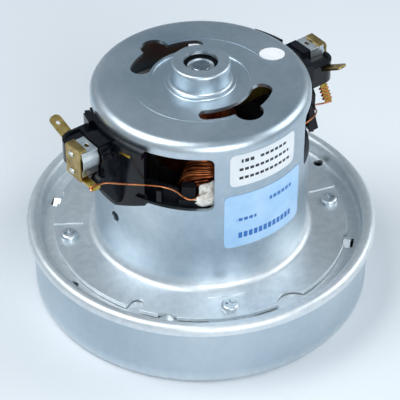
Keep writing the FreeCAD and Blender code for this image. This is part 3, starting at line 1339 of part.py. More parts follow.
LEAD_ROUTES = {
    # points out, across and up from the shaft, chosen along the wire
    "left": [(float(TUBE_END) - 0.3, 9.8, 74.75), (float(TUBE_END) - 5.2, 9.75, 74.75),
             (47.2, 13.2, 74.4), (42.6, 16.9, 74.1), (38.0, 20.6, 73.9), (34.0, 24.0, 73.1),
             (30.9, 25.9, 71.0), (29.0, 26.5, 68.2), (27.1, 28.4, 66.6), (25.2, 29.5, 66.8),
             (22.8, 28.4, 67.5), (20.7, 27.9, 68.2)],
    "right": [(float(TUBE_END) - 0.3, -10.47, 62.95), (float(TUBE_END) - 5.4, -10.9, 64.2),
              (46.4, -12.0, 66.6), (42.9, -15.4, 69.3), (39.8, -19.8, 71.9), (36.9, -23.6, 74.0),
              (32.3, -26.5, 75.2), (27.0, -27.8, 75.3), (22.1, -26.4, 74.2)],
}


def route_path(points):
    """Straight runs joined by tangent arcs, each as large as its two runs allow."""
    points = [Vector(*point) for point in points]
    edges, start, radii = [], points[0], []
    for before, corner, after in zip(points, points[1:], points[2:]):
        into, out = (corner - before), (after - corner)
        shorter = min(into.Length, out.Length)
        turn = into.getAngle(out)
        setback = 0.45 * shorter
        radii.append(setback / math.tan(turn / 2))
        into.normalize()
        out.normalize()
        first, last = corner - into * setback, corner + out * setback
        inwards = (out - into).normalize()
        reach = radii[-1] / math.cos(turn / 2) - radii[-1]
        edges.append(Part.LineSegment(start, first).toShape())
        edges.append(Part.Arc(first, corner + inwards * reach, last).toShape())
        start = last
    edges.append(Part.LineSegment(start, points[-1]).toShape())
    return Part.Wire(edges), radii


def make_lead(side, turn):
    path, radii = route_path(LEAD_ROUTES[side])
    lead = tube(path, s.lead_radius)
    print(f"field lead {side}: length {path.Length:.1f}, radius {float(s.lead_radius)}, "
          f"least bend {min(radii):.1f}, "
          f"volume ratio {lead.Volume / (math.pi * float(s.lead_radius) ** 2 * path.Length):.4f}")
    solid_node(f"field_lead_{side}", lead, turn)


def make_brush_gear():
    for side, turn in SIDES.items():
        make_tube(side, turn)
        make_brush(side, turn)
        make_end_plate(side, turn)
        make_clip(side, turn)
        make_terminal(side, turn)
        make_holder(side, turn)
        make_lead_tab(side, turn)
        make_lead(side, turn)


# Labels


def make_labels():
    inner = s.can_radius + s.label_lift
    for name in ("white", "blue"):
        low, high = getattr(s, f"{name}_low"), getattr(s, f"{name}_high")
        patch = ring_sector(f"{name}_patch", inner, inner + s.label_sheet, high - low, low,
                            getattr(s, f"{name}_start"), getattr(s, f"{name}_sweep"))
        keep(f"{name}_label", rounded(f"{name}_label", patch, s.label_corner, is_radial))
    oval = Part.Ellipse(Vector(), float(s.oval_long), float(s.oval_short))
    sticker = Part.Face(Part.Wire(oval.toShape())).extrude(Vector(0, 0, float(s.label_sheet)))
    sticker.rotate(Vector(), Z_AXIS, float(s.oval_lean))
    sticker.translate(polar(s.oval_circle, float(s.oval_turn), s.can_top + s.label_lift))
    solid_node("oval_sticker", sticker)


def check_document():
    doc.recompute()
    for feature in doc.Objects:
        if {"Invalid", "Error"} & set(feature.State):
            raise RuntimeError(f"{feature.Name} did not compute: {feature.State}")
    for name, feature in nodes.items():
        shape = feature.Shape
        if shape.isNull() or not shape.isValid() or not shape.Solids:
            raise RuntimeError(f"{name} has no valid solid")


def export_nodes():
    os.makedirs("parts", exist_ok=True)
    for name, feature in nodes.items():
        feature.Shape.exportStep(f"parts/{name}.step")
    print(f"{len(nodes)} nodes written")


def main():
    fill_sheet()
    make_fan_cover()
    make_bearing_bracket()
    make_motor_can()
    make_screws()
    make_stator_core()
    make_field_coils()
    make_coil_frames()
    make_coil_insulation()
    make_shaft()
    make_armature()
    make_commutator()
    make_bearings()
    make_shaft_stack()
    make_impeller()
    make_diffuser()
    make_brush_gear()
    make_labels()
    check_document()
    export_nodes()


main()
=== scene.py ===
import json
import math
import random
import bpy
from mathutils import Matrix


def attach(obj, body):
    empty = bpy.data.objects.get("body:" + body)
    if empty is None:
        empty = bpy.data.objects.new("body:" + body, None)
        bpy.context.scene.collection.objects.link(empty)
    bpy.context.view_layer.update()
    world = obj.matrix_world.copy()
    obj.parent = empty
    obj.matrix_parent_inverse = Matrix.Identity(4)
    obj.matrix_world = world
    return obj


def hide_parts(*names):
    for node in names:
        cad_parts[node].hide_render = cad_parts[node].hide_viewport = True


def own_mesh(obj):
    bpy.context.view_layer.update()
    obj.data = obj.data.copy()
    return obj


bl_info = {
    "name": "Universal Motor Dresser",
    "version": (1, 0, 0),
    "blender": (4, 5, 0),
    "location": "View3D > Sidebar > Motor",
    "description": "Dresses the packed motor: steel casing, windings, brush gear, labels and stage",
    "category": "Object",
}

import bmesh
import bpy
from mathutils import Vector, noise as field

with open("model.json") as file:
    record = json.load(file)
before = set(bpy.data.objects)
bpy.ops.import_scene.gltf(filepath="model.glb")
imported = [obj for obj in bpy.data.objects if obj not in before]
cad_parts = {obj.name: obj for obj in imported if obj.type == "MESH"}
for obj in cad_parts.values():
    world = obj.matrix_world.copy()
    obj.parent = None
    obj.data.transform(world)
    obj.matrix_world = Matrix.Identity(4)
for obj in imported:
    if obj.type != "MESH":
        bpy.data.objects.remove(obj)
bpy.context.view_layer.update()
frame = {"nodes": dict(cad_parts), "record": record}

MM = 0.001
SIDES = ("left", "right")


# Colours and nodes


# Kinds of node that several finishes use
NOISE = "ShaderNodeTexNoise"
MATH = "ShaderNodeMath"
RANGE = "ShaderNodeMapRange"
MIX = "ShaderNodeMix"
SEPARATE = "ShaderNodeSeparateXYZ"
COMBINE = "ShaderNodeCombineXYZ"
PLACE = "ShaderNodeTexCoord"
BUMP = "ShaderNodeBump"


def linear(code):
    """An sRGB hex colour as linear red, green, blue and alpha."""
    channels = []
    for start in (1, 3, 5):
        value = int(code[start:start + 2], 16) / 255
        channels.append(value / 12.92 if value <= 0.04045 else ((value + 0.055) / 1.055) ** 2.4)
    return (*channels, 1.0)


def fill(tree, node, inputs):
    """Sets inputs of a node, each from a value, a socket, or a node whose first output is meant."""
    for key, value in inputs.items():
        if isinstance(value, bpy.types.Node):
            value = value.outputs[0]
        if isinstance(value, bpy.types.NodeSocket):
            tree.links.new(value, node.inputs[key])
        else:
            node.inputs[key].default_value = value


def add(tree, kind, inputs=None, **settings):
    """A new node with its settings and inputs."""
    node = tree.nodes.new(kind)
    for name, value in settings.items():
        setattr(node, name, value)
    fill(tree, node, inputs or {})
    return node


def finish(tree, inputs):
    """Sets inputs of the material's shader."""
    fill(tree, tree.nodes["Principled BSDF"], inputs)


def new_material(name, inputs):
    """A material with the inputs that are the same all over its surface, and its tree."""
    material = bpy.data.materials.new(name)
    material.use_nodes = True
    finish(material.node_tree, inputs)
    return material, material.node_tree


def tinted(tree, pattern, low, high, tint):
    """A colour that goes from one tint to the other as a pattern goes from low to high."""
    share = add(tree, RANGE, {"Value": pattern, "From Min": low, "From Max": high})
    # inputs 6 and 7 are the two colours of this node, and output 2 is the mixed colour
    mix = add(tree, MIX, {"Factor": share, 6: linear(tint[0]), 7: linear(tint[1])}, data_type="RGBA")
    return mix.outputs[2]


def round_place(tree, place, turns, rise):
    """Coordinates wrapped round the shaft by angle and height, and the distance from the shaft."""
    parts = add(tree, SEPARATE, {"Vector": place})
    angle = add(tree, MATH, {0: parts.outputs["Y"], 1: parts.outputs["X"]}, operation="ARCTAN2")
    wide = add(tree, MATH, {0: angle, 1: turns}, operation="MULTIPLY")
    high = add(tree, MATH, {0: parts.outputs["Z"], 1: rise}, operation="MULTIPLY")
    flat = add(tree, COMBINE, {"X": parts.outputs["X"], "Y": parts.outputs["Y"]})
    radius = add(tree, "ShaderNodeVectorMath", {0: flat}, operation="LENGTH").outputs["Value"]
    return add(tree, COMBINE, {"X": wide, "Y": high}), radius


# Materials


# Tints of painted light that make the flange paler where the press gripped the blank, and the height in
# metres over which that light and the press grain fade
FLANGE_PAINTED_LIGHT_TINT = ("#DDE4E8", "#F0F4F6")
PAINTED_LIGHT_AND_GRAIN_FADE = 0.006


def drawn_zinc_steel(name, tint, rough, wall_streaks=1.0, painted_light_and_grain_below=0.0):
    """Deep drawn, zinc plated sheet: cool grey and satin, with draw streaks on its walls and smears.

    Below the given height in metres it is grained where the press gripped the blank, and paler with
    painted light on the flange.
    """
    material, tree = new_material(name, {"Metallic": 1.0})
    place = add(tree, PLACE).outputs["Object"]
    wrapped, radius = round_place(tree, place, 40.0, 30.0)
    # smears of handling, about 50 mm across
    smear = add(tree, NOISE, {"Vector": place, "Scale": 20.0, "Detail": 3.0, "Roughness": 0.5})
    # mottled zinc, about 3 mm across
    mottle = add(tree, NOISE, {"Vector": place, "Scale": 340.0, "Detail": 3.0, "Roughness": 0.6})
    # draw streaks up the wall, about 1 mm wide
    streak = add(tree, NOISE, {"Vector": wrapped, "Scale": 3.0, "Detail": 2.0, "Roughness": 0.5})
    # turning marks round the shaft, about 0.5 mm apart
    rings = add(tree, NOISE, {"W": radius, "Scale": 2000.0, "Detail": 2.0}, noise_dimensions="1D")
    # grain left by the press tool, about 0.5 mm across
    grain = add(tree, NOISE, {"Vector": place, "Scale": 2000.0, "Detail": 2.0, "Roughness": 0.6})
    height = add(tree, SEPARATE, {"Vector": place}).outputs["Z"]
    # this mask puts painted light into the colour, and real press grain into the roughness and the bump
    painted_light_and_grain = add(tree, RANGE, {"Value": height, "From Min": painted_light_and_grain_below,
                                "From Max": painted_light_and_grain_below + PAINTED_LIGHT_AND_GRAIN_FADE, "To Min": 1.0, "To Max": 0.0})
    tone = add(tree, MIX, {"Factor": 0.2, "A": smear, "B": mottle})
    # inputs 6 and 7 are the two colours of this node, and output 2 is the mixed colour; the second
    # colour is painted light, paler on the flange
    colour = add(tree, MIX, {"Factor": add(tree, MATH, {0: painted_light_and_grain, 1: 0.75}, operation="MULTIPLY"),
                             6: tinted(tree, tone, 0.35, 0.68, tint),
                             7: tinted(tree, mottle, 0.3, 0.7, FLANGE_PAINTED_LIGHT_TINT)}, data_type="RGBA")
    sheen = add(tree, MIX, {"Factor": 0.4, "A": smear, "B": streak})
    satin = add(tree, RANGE, {"Value": sheen, "To Min": rough - 0.06, "To Max": rough + 0.06})
    walls = add(tree, MATH, {0: streak, 1: wall_streaks}, operation="MULTIPLY")
    turned = add(tree, MATH, {0: rings, 1: 0.35, 2: walls}, operation="MULTIPLY_ADD")
    relief = add(tree, MATH, {0: grain, 1: painted_light_and_grain, 2: turned}, operation="MULTIPLY_ADD")
    finish(tree, {"Base Color": colour.outputs[2],
                  "Roughness": add(tree, MATH, {0: painted_light_and_grain, 1: 0.1, 2: satin}, operation="MULTIPLY_ADD"),
                  "Normal": add(tree, BUMP, {"Height": relief, "Distance": 0.00003})})
    return material


def moulded_thermoset(name, tint, rough, gloss=0.0):
    """Compression moulded thermoset: near black, a little blue, with a soft sheen and fine grain."""
    # the coat is the skin that a polished mould leaves
    material, tree = new_material(name, {"Metallic": 0.0, "IOR": 1.5, "Specular IOR Level": 0.14,
                                         "Coat Weight": gloss, "Coat Roughness": 0.14})
    place = add(tree, PLACE).outputs["Object"]
    # grain of about 0.5 mm, and patches of about 6 mm
    grain = add(tree, NOISE, {"Vector": place, "Scale": 2200.0, "Detail": 2.0, "Roughness": 0.55})
    patch = add(tree, NOISE, {"Vector": place, "Scale": 160.0, "Detail": 3.0, "Roughness": 0.55})
    satin = add(tree, RANGE, {"Value": patch, "To Min": rough - 0.08, "To Max": rough + 0.12})
    finish(tree, {"Base Color": tinted(tree, patch, 0.3, 0.7, tint), "Roughness": satin,
                  "Normal": add(tree, BUMP, {"Height": grain, "Distance": 0.00002})})
    return material


def rolled_brass(name, tint, rough):
    """Rolled brass strip: warm yellow, tarnished in patches, with fine lines along the roll."""
    material, tree = new_material(name, {"Metallic": 1.0})
    place = add(tree, PLACE).outputs["Object"]
    # patches of about 4 mm
    tarnish = add(tree, NOISE, {"Vector": place, "Scale": 260.0, "Detail": 4.0, "Roughness": 0.65})
    # lines about 0.25 mm apart and a few millimetres long
    drawn_out = add(tree, "ShaderNodeMapping", {"Vector": place, "Scale": (600, 4000, 600)})
    lines = add(tree, NOISE, {"Vector": drawn_out, "Scale": 1.0, "Detail": 2.0, "Roughness": 0.55})
    satin = add(tree, RANGE, {"Value": tarnish, "To Min": rough - 0.1, "To Max": rough + 0.15})
    finish(tree, {"Base Color": tinted(tree, tarnish, 0.3, 0.7, tint), "Roughness": satin,
                  "Normal": add(tree, BUMP, {"Height": lines, "Distance": 0.00002})})
    return material


def nickel_plate(name, tint, rough):
    """Nickel plated spring steel: bright and a little warm, softened by handling."""
    material, tree = new_material(name, {"Metallic": 1.0})
    place = add(tree, PLACE).outputs["Object"]
    # haze in patches of about 3 mm, over a skin that is uneven at about 1 mm
    haze = add(tree, NOISE, {"Vector": place, "Scale": 300.0, "Detail": 3.0, "Roughness": 0.55})
    skin = add(tree, NOISE, {"Vector": place, "Scale": 900.0, "Detail": 3.0, "Roughness": 0.55})
    satin = add(tree, RANGE, {"Value": haze, "To Min": rough - 0.08, "To Max": rough + 0.14})
    finish(tree, {"Base Color": tinted(tree, haze, 0.3, 0.7, tint), "Roughness": satin,
                  "Normal": add(tree, BUMP, {"Height": skin, "Distance": 0.00002})})
    return material


def enamelled_copper(name, tint, rough=0.28):
    """Copper magnet wire under clear enamel: orange brown, glossy, darker where the varnish pooled."""
    material, tree = new_material(name, {"Metallic": 1.0, "Coat Weight": 0.4, "Coat Roughness": 0.15})
    place = add(tree, PLACE).outputs["Object"]
    # pools of about 4 mm
    varnish = add(tree, NOISE, {"Vector": place, "Scale": 220.0, "Detail": 4.0, "Roughness": 0.6})
    finish(tree, {"Base Color": tinted(tree, varnish, 0.3, 0.66, tint),
                  "Roughness": add(tree, RANGE, {"Value": varnish, "To Min": rough - 0.08,
                                                 "To Max": rough + 0.2})})
    return material


def pressed_fibre(name, tint):
    """Pressed fibre paper: matte, off white, slightly fluffy and stained by varnish."""
    material, tree = new_material(name, {"Metallic": 0.0, "Roughness": 0.85})
    place = add(tree, PLACE).outputs["Object"]
    # fibres of about 1 mm that lie along the sheet, and stains of about 2 mm
    laid = add(tree, "ShaderNodeMapping", {"Vector": place, "Scale": (1.0, 1.0, 2.5)})
    fluff = add(tree, NOISE, {"Vector": laid, "Scale": 1100.0, "Detail": 5.0, "Roughness": 0.75})
    stain = add(tree, NOISE, {"Vector": place, "Scale": 420.0, "Detail": 4.0, "Roughness": 0.65})
    finish(tree, {"Base Color": tinted(tree, stain, 0.36, 0.56, tint),
                  "Normal": add(tree, BUMP, {"Height": fluff, "Distance": 0.0004})})
    return material


# Plain printed lines on the labels: middle height and height in mm, first and last angle in degrees
WHITE_ROWS = ((84.0, 1.5, -107.0, -99.5), (84.0, 1.2, -96.5, -79.0), (80.2, 1.2, -108.5, -77.5),
              (76.4, 1.2, -108.5, -76.5))
BLUE_ROWS = ((62.5, 1.6, -90.0, -74.0), (57.0, 1.4, -109.0, -98.0), (49.6, 2.6, -108.0, -74.0))
LABEL_RADIUS = 41.2
DASH_PITCH = 2.1
DASH_FILL = 0.74


def printed_lines(tree, place, rows):
    """1 on short printed dashes that stand in level rows round the can, 0 between them."""
    parts = add(tree, SEPARATE, {"Vector": place})
    angle = add(tree, MATH, {0: parts.outputs["Y"], 1: parts.outputs["X"]}, operation="ARCTAN2")
    dashes = add(tree, MATH, {0: angle, 1: LABEL_RADIUS / DASH_PITCH}, operation="MULTIPLY")
    share = add(tree, MATH, {0: dashes}, operation="FRACT")
    ink = add(tree, MATH, {0: share, 1: DASH_FILL}, operation="LESS_THAN")
    covered = 0.0
    for middle, height, first, last in rows:
        level = add(tree, MATH, {0: parts.outputs["Z"], 1: middle * MM, 2: height / 2 * MM},
                    operation="COMPARE")
        along = add(tree, MATH, {0: angle, 1: math.radians((first + last) / 2),
                                 2: math.radians((last - first) / 2)}, operation="COMPARE")
        covered = add(tree, MATH, {0: level, 1: along, 2: covered}, operation="MULTIPLY_ADD")
    return add(tree, MATH, {0: covered, 1: ink}, operation="MULTIPLY")


def printed_label(name, tint, rough, rows=(), ink="#1D232A"):
    """Adhesive label stock, slightly glossy, with plain printed dashes in place of any text."""
    material, tree = new_material(name, {"Metallic": 0.0})
    place = add(tree, PLACE).outputs["Object"]
    # unevenness of the glued sheet, about 8 mm across
    ripple = add(tree, NOISE, {"Vector": place, "Scale": 120.0, "Detail": 2.0, "Roughness": 0.55})
    colour = tinted(tree, ripple, 0.3, 0.7, tint)
    if rows:
        # inputs 6 and 7 are the two colours of this node, and output 2 is the mixed colour
        colour = add(tree, MIX, {"Factor": printed_lines(tree, place, rows), 6: colour, 7: linear(ink)},
                     data_type="RGBA").outputs[2]
    satin = add(tree, RANGE, {"Value": ripple, "To Min": rough - 0.06, "To Max": rough + 0.08})
    finish(tree, {"Base Color": colour, "Roughness": satin,
                  "Normal": add(tree, BUMP, {"Height": ripple, "Distance": 0.00004})})
    return material


def ground_steel(name, tint, rough=0.16):
    """Ground and polished bearing steel: bright, with fine marks round the shaft."""
    material, tree = new_material(name, {"Metallic": 1.0})
    # marks about 0.3 mm apart up the shaft, and long round it
    wrapped = round_place(tree, add(tree, PLACE).outputs["Object"], 6.0, 3000.0)[0]
    marks = add(tree, NOISE, {"Vector": wrapped, "Scale": 1.0, "Detail": 2.0, "Roughness": 0.55})
    finish(tree, {"Base Color": tinted(tree, marks, 0.3, 0.7, tint),
                  "Roughness": add(tree, RANGE, {"Value": marks, "To Min": rough - 0.05,
                                                 "To Max": rough + 0.1})})
    return material


def stacked_laminations(name, tint):
    """Punched silicon steel sheets, 0.5 mm thick, seen as fine level lines on the stack's sides."""
    material, tree = new_material(name, {"Metallic": 0.9, "Roughness": 0.5})
    sheet_pitch = 0.5 * MM
    height = add(tree, SEPARATE, {"Vector": add(tree, PLACE).outputs["Object"]}).outputs["Z"]
    turns = add(tree, MATH, {0: height, 1: 2 * math.pi / sheet_pitch}, operation="MULTIPLY")
    layers = add(tree, MATH, {0: turns}, operation="SINE", use_clamp=True)
    finish(tree, {"Base Color": tinted(tree, layers, 0.2, 0.8, tint),
                  "Normal": add(tree, BUMP, {"Height": layers, "Distance": 0.00005})})
    return material


def sintered_carbon(name, tint):
    """Pressed and sintered carbon: dark grey, matte, with a slight graphite shine."""
    material, tree = new_material(name, {"Metallic": 0.2, "Roughness": 0.55})
    place = add(tree, PLACE).outputs["Object"]
    # grains of about 0.4 mm
    speck = add(tree, NOISE, {"Vector": place, "Scale": 2600.0, "Detail": 4.0, "Roughness": 0.55})
    finish(tree, {"Base Color": tinted(tree, speck, 0.35, 0.7, tint),
                  "Normal": add(tree, BUMP, {"Height": speck, "Distance": 0.00003})})
    return material


MATERIALS = {}


def make_materials():
    """Every finish of the motor, once each."""
    MATERIALS.update({
        # below 26.2 mm the can's flange is paler with painted light
        "can_steel": drawn_zinc_steel("deep_drawn_zinc_plated_steel", ("#A8BAC7", "#D6E0E6"), 0.38,
                                      painted_light_and_grain_below=0.0262),
        "cover_steel": drawn_zinc_steel("spun_zinc_plated_steel", ("#B3C3CE", "#CBD7DF"), 0.44, 0.3),
        "bracket_steel": drawn_zinc_steel("pressed_zinc_plated_steel", ("#BCC8D0", "#D4DDE2"), 0.4,
                                          0.2, 0.04),
        "screw_steel": nickel_plate("zinc_plated_screw_steel", ("#B4C0C8", "#DCE3E7"), 0.38),
        "sleeve_plastic": moulded_thermoset("natural_nylon", ("#B8B2A4", "#CFC9BC"), 0.5),
        "lamination_steel": stacked_laminations("stacked_laminations", ("#33373B", "#5E656B")),
        "field_copper": enamelled_copper("enamelled_field_wire", ("#6A2812", "#D87C42")),
        "lead_copper": enamelled_copper("enamelled_lead_wire", ("#9A4E26", "#D08A5A"), 0.26),
        "armature_copper": enamelled_copper("varnished_armature_wire", ("#5E2410", "#A3552B"), 0.35),
        "frame_plastic": moulded_thermoset("moulded_coil_frame", ("#0B0D11", "#191C22"), 0.45),
        "insulation_fibre": pressed_fibre("pressed_insulation_fibre", ("#BFBAB0", "#F0EEE8")),
        "diffuser_plastic": moulded_thermoset("moulded_diffuser", ("#1C1D20", "#2A2B2F"), 0.5),
        "bearing_steel": ground_steel("ground_bearing_steel", ("#B5B9BD", "#DDE0E2")),
        # the steel shield is painted near black and not metallic: painted shade in the boss's hole
        "shield_steel": moulded_thermoset("bearing_shield_painted_shade", ("#0B0C0E", "#16181B"), 0.55),
        "shaft_steel": ground_steel("ground_shaft_steel", ("#7C8894", "#A9B4BD"), 0.22),
        "commutator_copper": ground_steel("turned_commutator_copper", ("#9C5A34", "#D08A5C"), 0.3),
        "commutator_resin": moulded_thermoset("commutator_resin", ("#2A120B", "#3D1D12"), 0.4),
        "impeller_aluminium": nickel_plate("pressed_aluminium", ("#B4B9BD", "#D6DADD"), 0.35),
        "white_label_paper": printed_label("white_label_stock", ("#D9E0E6", "#E4E9ED"), 0.42,
                                           WHITE_ROWS),
        "blue_label_film": printed_label("pale_blue_label_stock", ("#9CC6EC", "#B2D4F2"), 0.36,
                                         BLUE_ROWS, "#2A6CB8"),
        "white_sticker_paper": printed_label("white_sticker_stock", ("#D9DDE0", "#E3E6E8"), 0.45),
        # the tube's brass is painted dark: painted shade, as the tube stands inside the can
        "tube_brass": rolled_brass("drawn_brass_tube_painted_shade", ("#4A3B1B", "#7A6430"), 0.42),
        "holder_plastic": moulded_thermoset("moulded_brush_holder", ("#020409", "#060B14"), 0.24, 0.35),
        "clip_steel": nickel_plate("nickel_plated_clip", ("#C3CED5", "#E9EFF2"), 0.36),
        "cap_brass": rolled_brass("rolled_brass_cap", ("#86703F", "#C6AE74"), 0.3),
        "terminal_brass": rolled_brass("rolled_brass_blade", ("#7C6A3C", "#B9A265"), 0.34),
        "tab_brass": rolled_brass("rolled_brass_tab", ("#A88A34", "#E8CB6C"), 0.28),
        "spring_steel": nickel_plate("drawn_spring_steel", ("#6E7174", "#A2A6A9"), 0.3),
        "carbon": sintered_carbon("sintered_carbon", ("#141416", "#26262A")),
    })


# Pieces


# Finishing of a copied mesh: doubles closer than this are merged, and angles are in degrees
WELD = 0.002 * MM
FLAT_ANGLE = 0.4
EDGE_ANGLE = 35.0
SHARP_ANGLE = 32.0

# The can's top and wall, and where its vents and windows lie on them, in millimetres
CAN_TOP = 92.2
CAN_RADIUS = 41.0
VENTS_FROM = 19.0
VENTS_TO = 32.0
WINDOWS_FROM = 62.0
WINDOWS_TO = 87.0
NEAR_TOP = 0.1
NEAR_WALL = 0.15
# How far the tongues stand out of the end plate, in millimetres
TONGUES = 0.4


def slot_of(node):
    """The material slot that the record gives a node."""
    for entry in frame["record"]["subparts"]:
        if entry["node"] == node:
            return entry["material_slot"]
    raise RuntimeError(f"{node} has no material slot")


def body_with(node):
    """The body that the record puts a node on."""
    for body, nodes in frame["record"]["behaviour"]["bodies"].items():
        if node in nodes:
            return body
    raise RuntimeError(f"{node} is on no body")


def dress(node):
    """Gives a CAD node the finish of its own slot."""
    target = frame["nodes"][node]
    target.data.materials.clear()
    target.data.materials.append(MATERIALS[slot_of(node)])


def link(name, mesh):
    """A new object of the scene with this mesh."""
    piece = bpy.data.objects.new(name, mesh)
    bpy.context.scene.collection.objects.link(piece)
    return piece


def settle(piece, nodes):
    """Puts a finished piece on the body of the nodes that it stands for, with their finish."""
    slot = slot_of(nodes[0])
    piece.data.materials.clear()
    piece.data.materials.append(MATERIALS[slot])
    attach(piece, body_with(nodes[0]))
    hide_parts(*nodes)
    return piece


def baked(piece):
    """Turns a piece with modifiers into a plain mesh at the origin."""
    graph = bpy.context.evaluated_depsgraph_get()
    mesh = bpy.data.meshes.new_from_object(piece.evaluated_get(graph))
    piece.modifiers.clear()
    piece.data = mesh
    return piece


def edged_copy(node, width, soft=None, soft_width=0.0):
    """A copy of a CAD node whose hard edges get the real piece's radius, larger where soft holds."""
    mesh = frame["nodes"][node].data.copy()
    work = bmesh.new()
    work.from_mesh(mesh)
    bmesh.ops.remove_doubles(work, verts=work.verts, dist=WELD)
    bmesh.ops.dissolve_limit(work, angle_limit=math.radians(FLAT_ANGLE), verts=work.verts,
                             edges=work.edges)
    widest = max(width, soft_width)
    if widest > 0:
        weights = work.edges.layers.float.new("bevel_weight_edge")
        for edge in work.edges:
            if edge.calc_face_angle(0.0) > math.radians(EDGE_ANGLE):
                middle = (edge.verts[0].co + edge.verts[1].co) / 2
                edge[weights] = (soft_width if soft and soft(middle) else width) / widest
    work.to_mesh(mesh)
    work.free()
    piece = link(f"{node}_finished", mesh)
    if widest > 0:
        modifier = piece.modifiers.new("edges", "BEVEL")
        modifier.width = widest
        modifier.segments = 2
        modifier.limit_method = "WEIGHT"
        modifier.use_clamp_overlap = True
        baked(piece)
    piece.data.shade_smooth()
    piece.data.set_sharp_from_angle(angle=math.radians(SHARP_ANGLE))
    # the large flat faces keep their own normals up to the rounded edges
    flat = piece.modifiers.new("flat_faces", "WEIGHTED_NORMAL")
    flat.mode = "FACE_AREA"
    flat.keep_sharp = True
    baked(piece)
    return settle(piece, [node])


def set_input(modifier, tree, name, value):
    """Sets a modifier's input by its socket's identifier."""
    for item in tree.interface.items_tree:
        if item.item_type == "SOCKET" and item.in_out == "INPUT" and item.name == name:
            modifier[item.identifier] = value
            return
    raise RuntimeError(f"the tree has no input {name}")


def wire_tree():
    """Round wires along the edges of a mesh, copied evenly round the shaft."""
    tree = bpy.data.node_groups.new("wires_round_the_shaft", "GeometryNodeTree")
    face = tree.interface
    face.new_socket("Geometry", in_out="INPUT", socket_type="NodeSocketGeometry")
    for name, kind, value in (("Wire radius", "NodeSocketFloat", 0.4 * MM),
                              ("Sides", "NodeSocketInt", 6), ("Copies", "NodeSocketInt", 1)):
        face.new_socket(name, in_out="INPUT", socket_type=kind).default_value = value
    face.new_socket("Material", in_out="INPUT", socket_type="NodeSocketMaterial")
    face.new_socket("Geometry", in_out="OUTPUT", socket_type="NodeSocketGeometry")
    entry = add(tree, "NodeGroupInput")
    path = add(tree, "GeometryNodeMeshToCurve", {"Mesh": entry.outputs["Geometry"]})
    section = add(tree, "GeometryNodeCurvePrimitiveCircle", {"Resolution": entry.outputs["Sides"],
                                                             "Radius": entry.outputs["Wire radius"]})
    wire = add(tree, "GeometryNodeCurveToMesh", {"Curve": path, "Profile Curve": section,
                                                 "Fill Caps": True})
    points = add(tree, "GeometryNodePoints", {"Count": entry.outputs["Copies"]})
    index = add(tree, "GeometryNodeInputIndex")
    step = add(tree, MATH, {0: 2 * math.pi, 1: entry.outputs["Copies"]}, operation="DIVIDE")
    turn = add(tree, MATH, {0: index, 1: step}, operation="MULTIPLY")
    copies = add(tree, "GeometryNodeInstanceOnPoints", {"Points": points, "Instance": wire,
                                                        "Rotation": add(tree, COMBINE, {"Z": turn})})
    real = add(tree, "GeometryNodeRealizeInstances", {"Geometry": copies})
    smooth = add(tree, "GeometryNodeSetShadeSmooth", {"Geometry": real})
    coloured = add(tree, "GeometryNodeSetMaterial", {"Geometry": smooth,
                                                     "Material": entry.outputs["Material"]})
    add(tree, "NodeGroupOutput", {"Geometry": coloured})
    return tree


def wired(name, paths, radius, material, copies=1, sides=6):
    """A piece of round wire along lists of points, copied round the shaft."""
    tree = bpy.data.node_groups.get("wires_round_the_shaft") or wire_tree()
    points, edges = [], []
    for path in paths:
        start = len(points)
        points.extend(path)
        edges.extend((start + number, start + number + 1) for number in range(len(path) - 1))
    mesh = bpy.data.meshes.new(name)
    mesh.from_pydata(points, edges, [])
    piece = link(name, mesh)
    modifier = piece.modifiers.new("wires", "NODES")
    modifier.node_group = tree
    for label, value in (("Wire radius", radius), ("Sides", sides), ("Copies", copies),
                         ("Material", material)):
        set_input(modifier, tree, label, value)
    return baked(piece)


def softened(points, passes):
    """A list of points with its corners eased, ends kept."""
    for number in range(passes):
        eased = [points[0]]
        for near, far in zip(points, points[1:]):
            eased.append(near.lerp(far, 0.25))
            eased.append(near.lerp(far, 0.75))
        eased.append(points[-1])
        points = eased
    return points


# Windings and fibre


# Field coils in millimetres and degrees, with the room that they leave beside the core
COIL_INNER = 24.1
COIL_OUTER = 33.6
COIL_PITCH = 1.13
COIL_SPREAD = 52.0
COIL_LOW = 26.0
COIL_HIGH = 74.0
COIL_LAYERS = 9
COIL_INSETS = 13
COIL_CORNER = 7.0
CORNER_LOSS = 4.0
POINT_PITCH = 2.4
NECK_HALF = 14.9
SLOT_GAP = 1.0
END_ROOM = 11.2
COILS = {"back": 90.0, "front": 270.0}
# How far a turn strays in millimetres, and the length over which it does
STRAY = 0.9
STRAY_LENGTH = 14

# Ends of the armature's winding: height of the core's face and of the winding's tip in millimetres
ARMATURE_ENDS = ((61.9, 72.0), (38.1, 27.6))
# Where its strands leave the slots, how near to the shaft they lean, and how far they go round
STRAND_STARTS = (14.2, 17.2)
STRAND_DEPTHS = (7.5, 12.5)
STRAND_REACH = 75
STRAND_POINTS = 16
# The winding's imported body, which shrinks a little under its strands
ARMATURE_MIDDLE = 50.0
ARMATURE_HALF = 11.7
SHAFT_RADIUS = 5.0
SHRINK_IN = 0.9
SHRINK_DOWN = 0.97

# Rolls of fibre: radius, thickness, top, half their angle and first seed, and what they share
FIBRE_ROLLS = {"low": (38.1, 2.2, 69.4, 43.4, 1), "high": (36.9, 2.3, 74.2, 38.6, 5)}
FIBRE_FOOT = 63.2
FIBRE_DROOP = 3.0

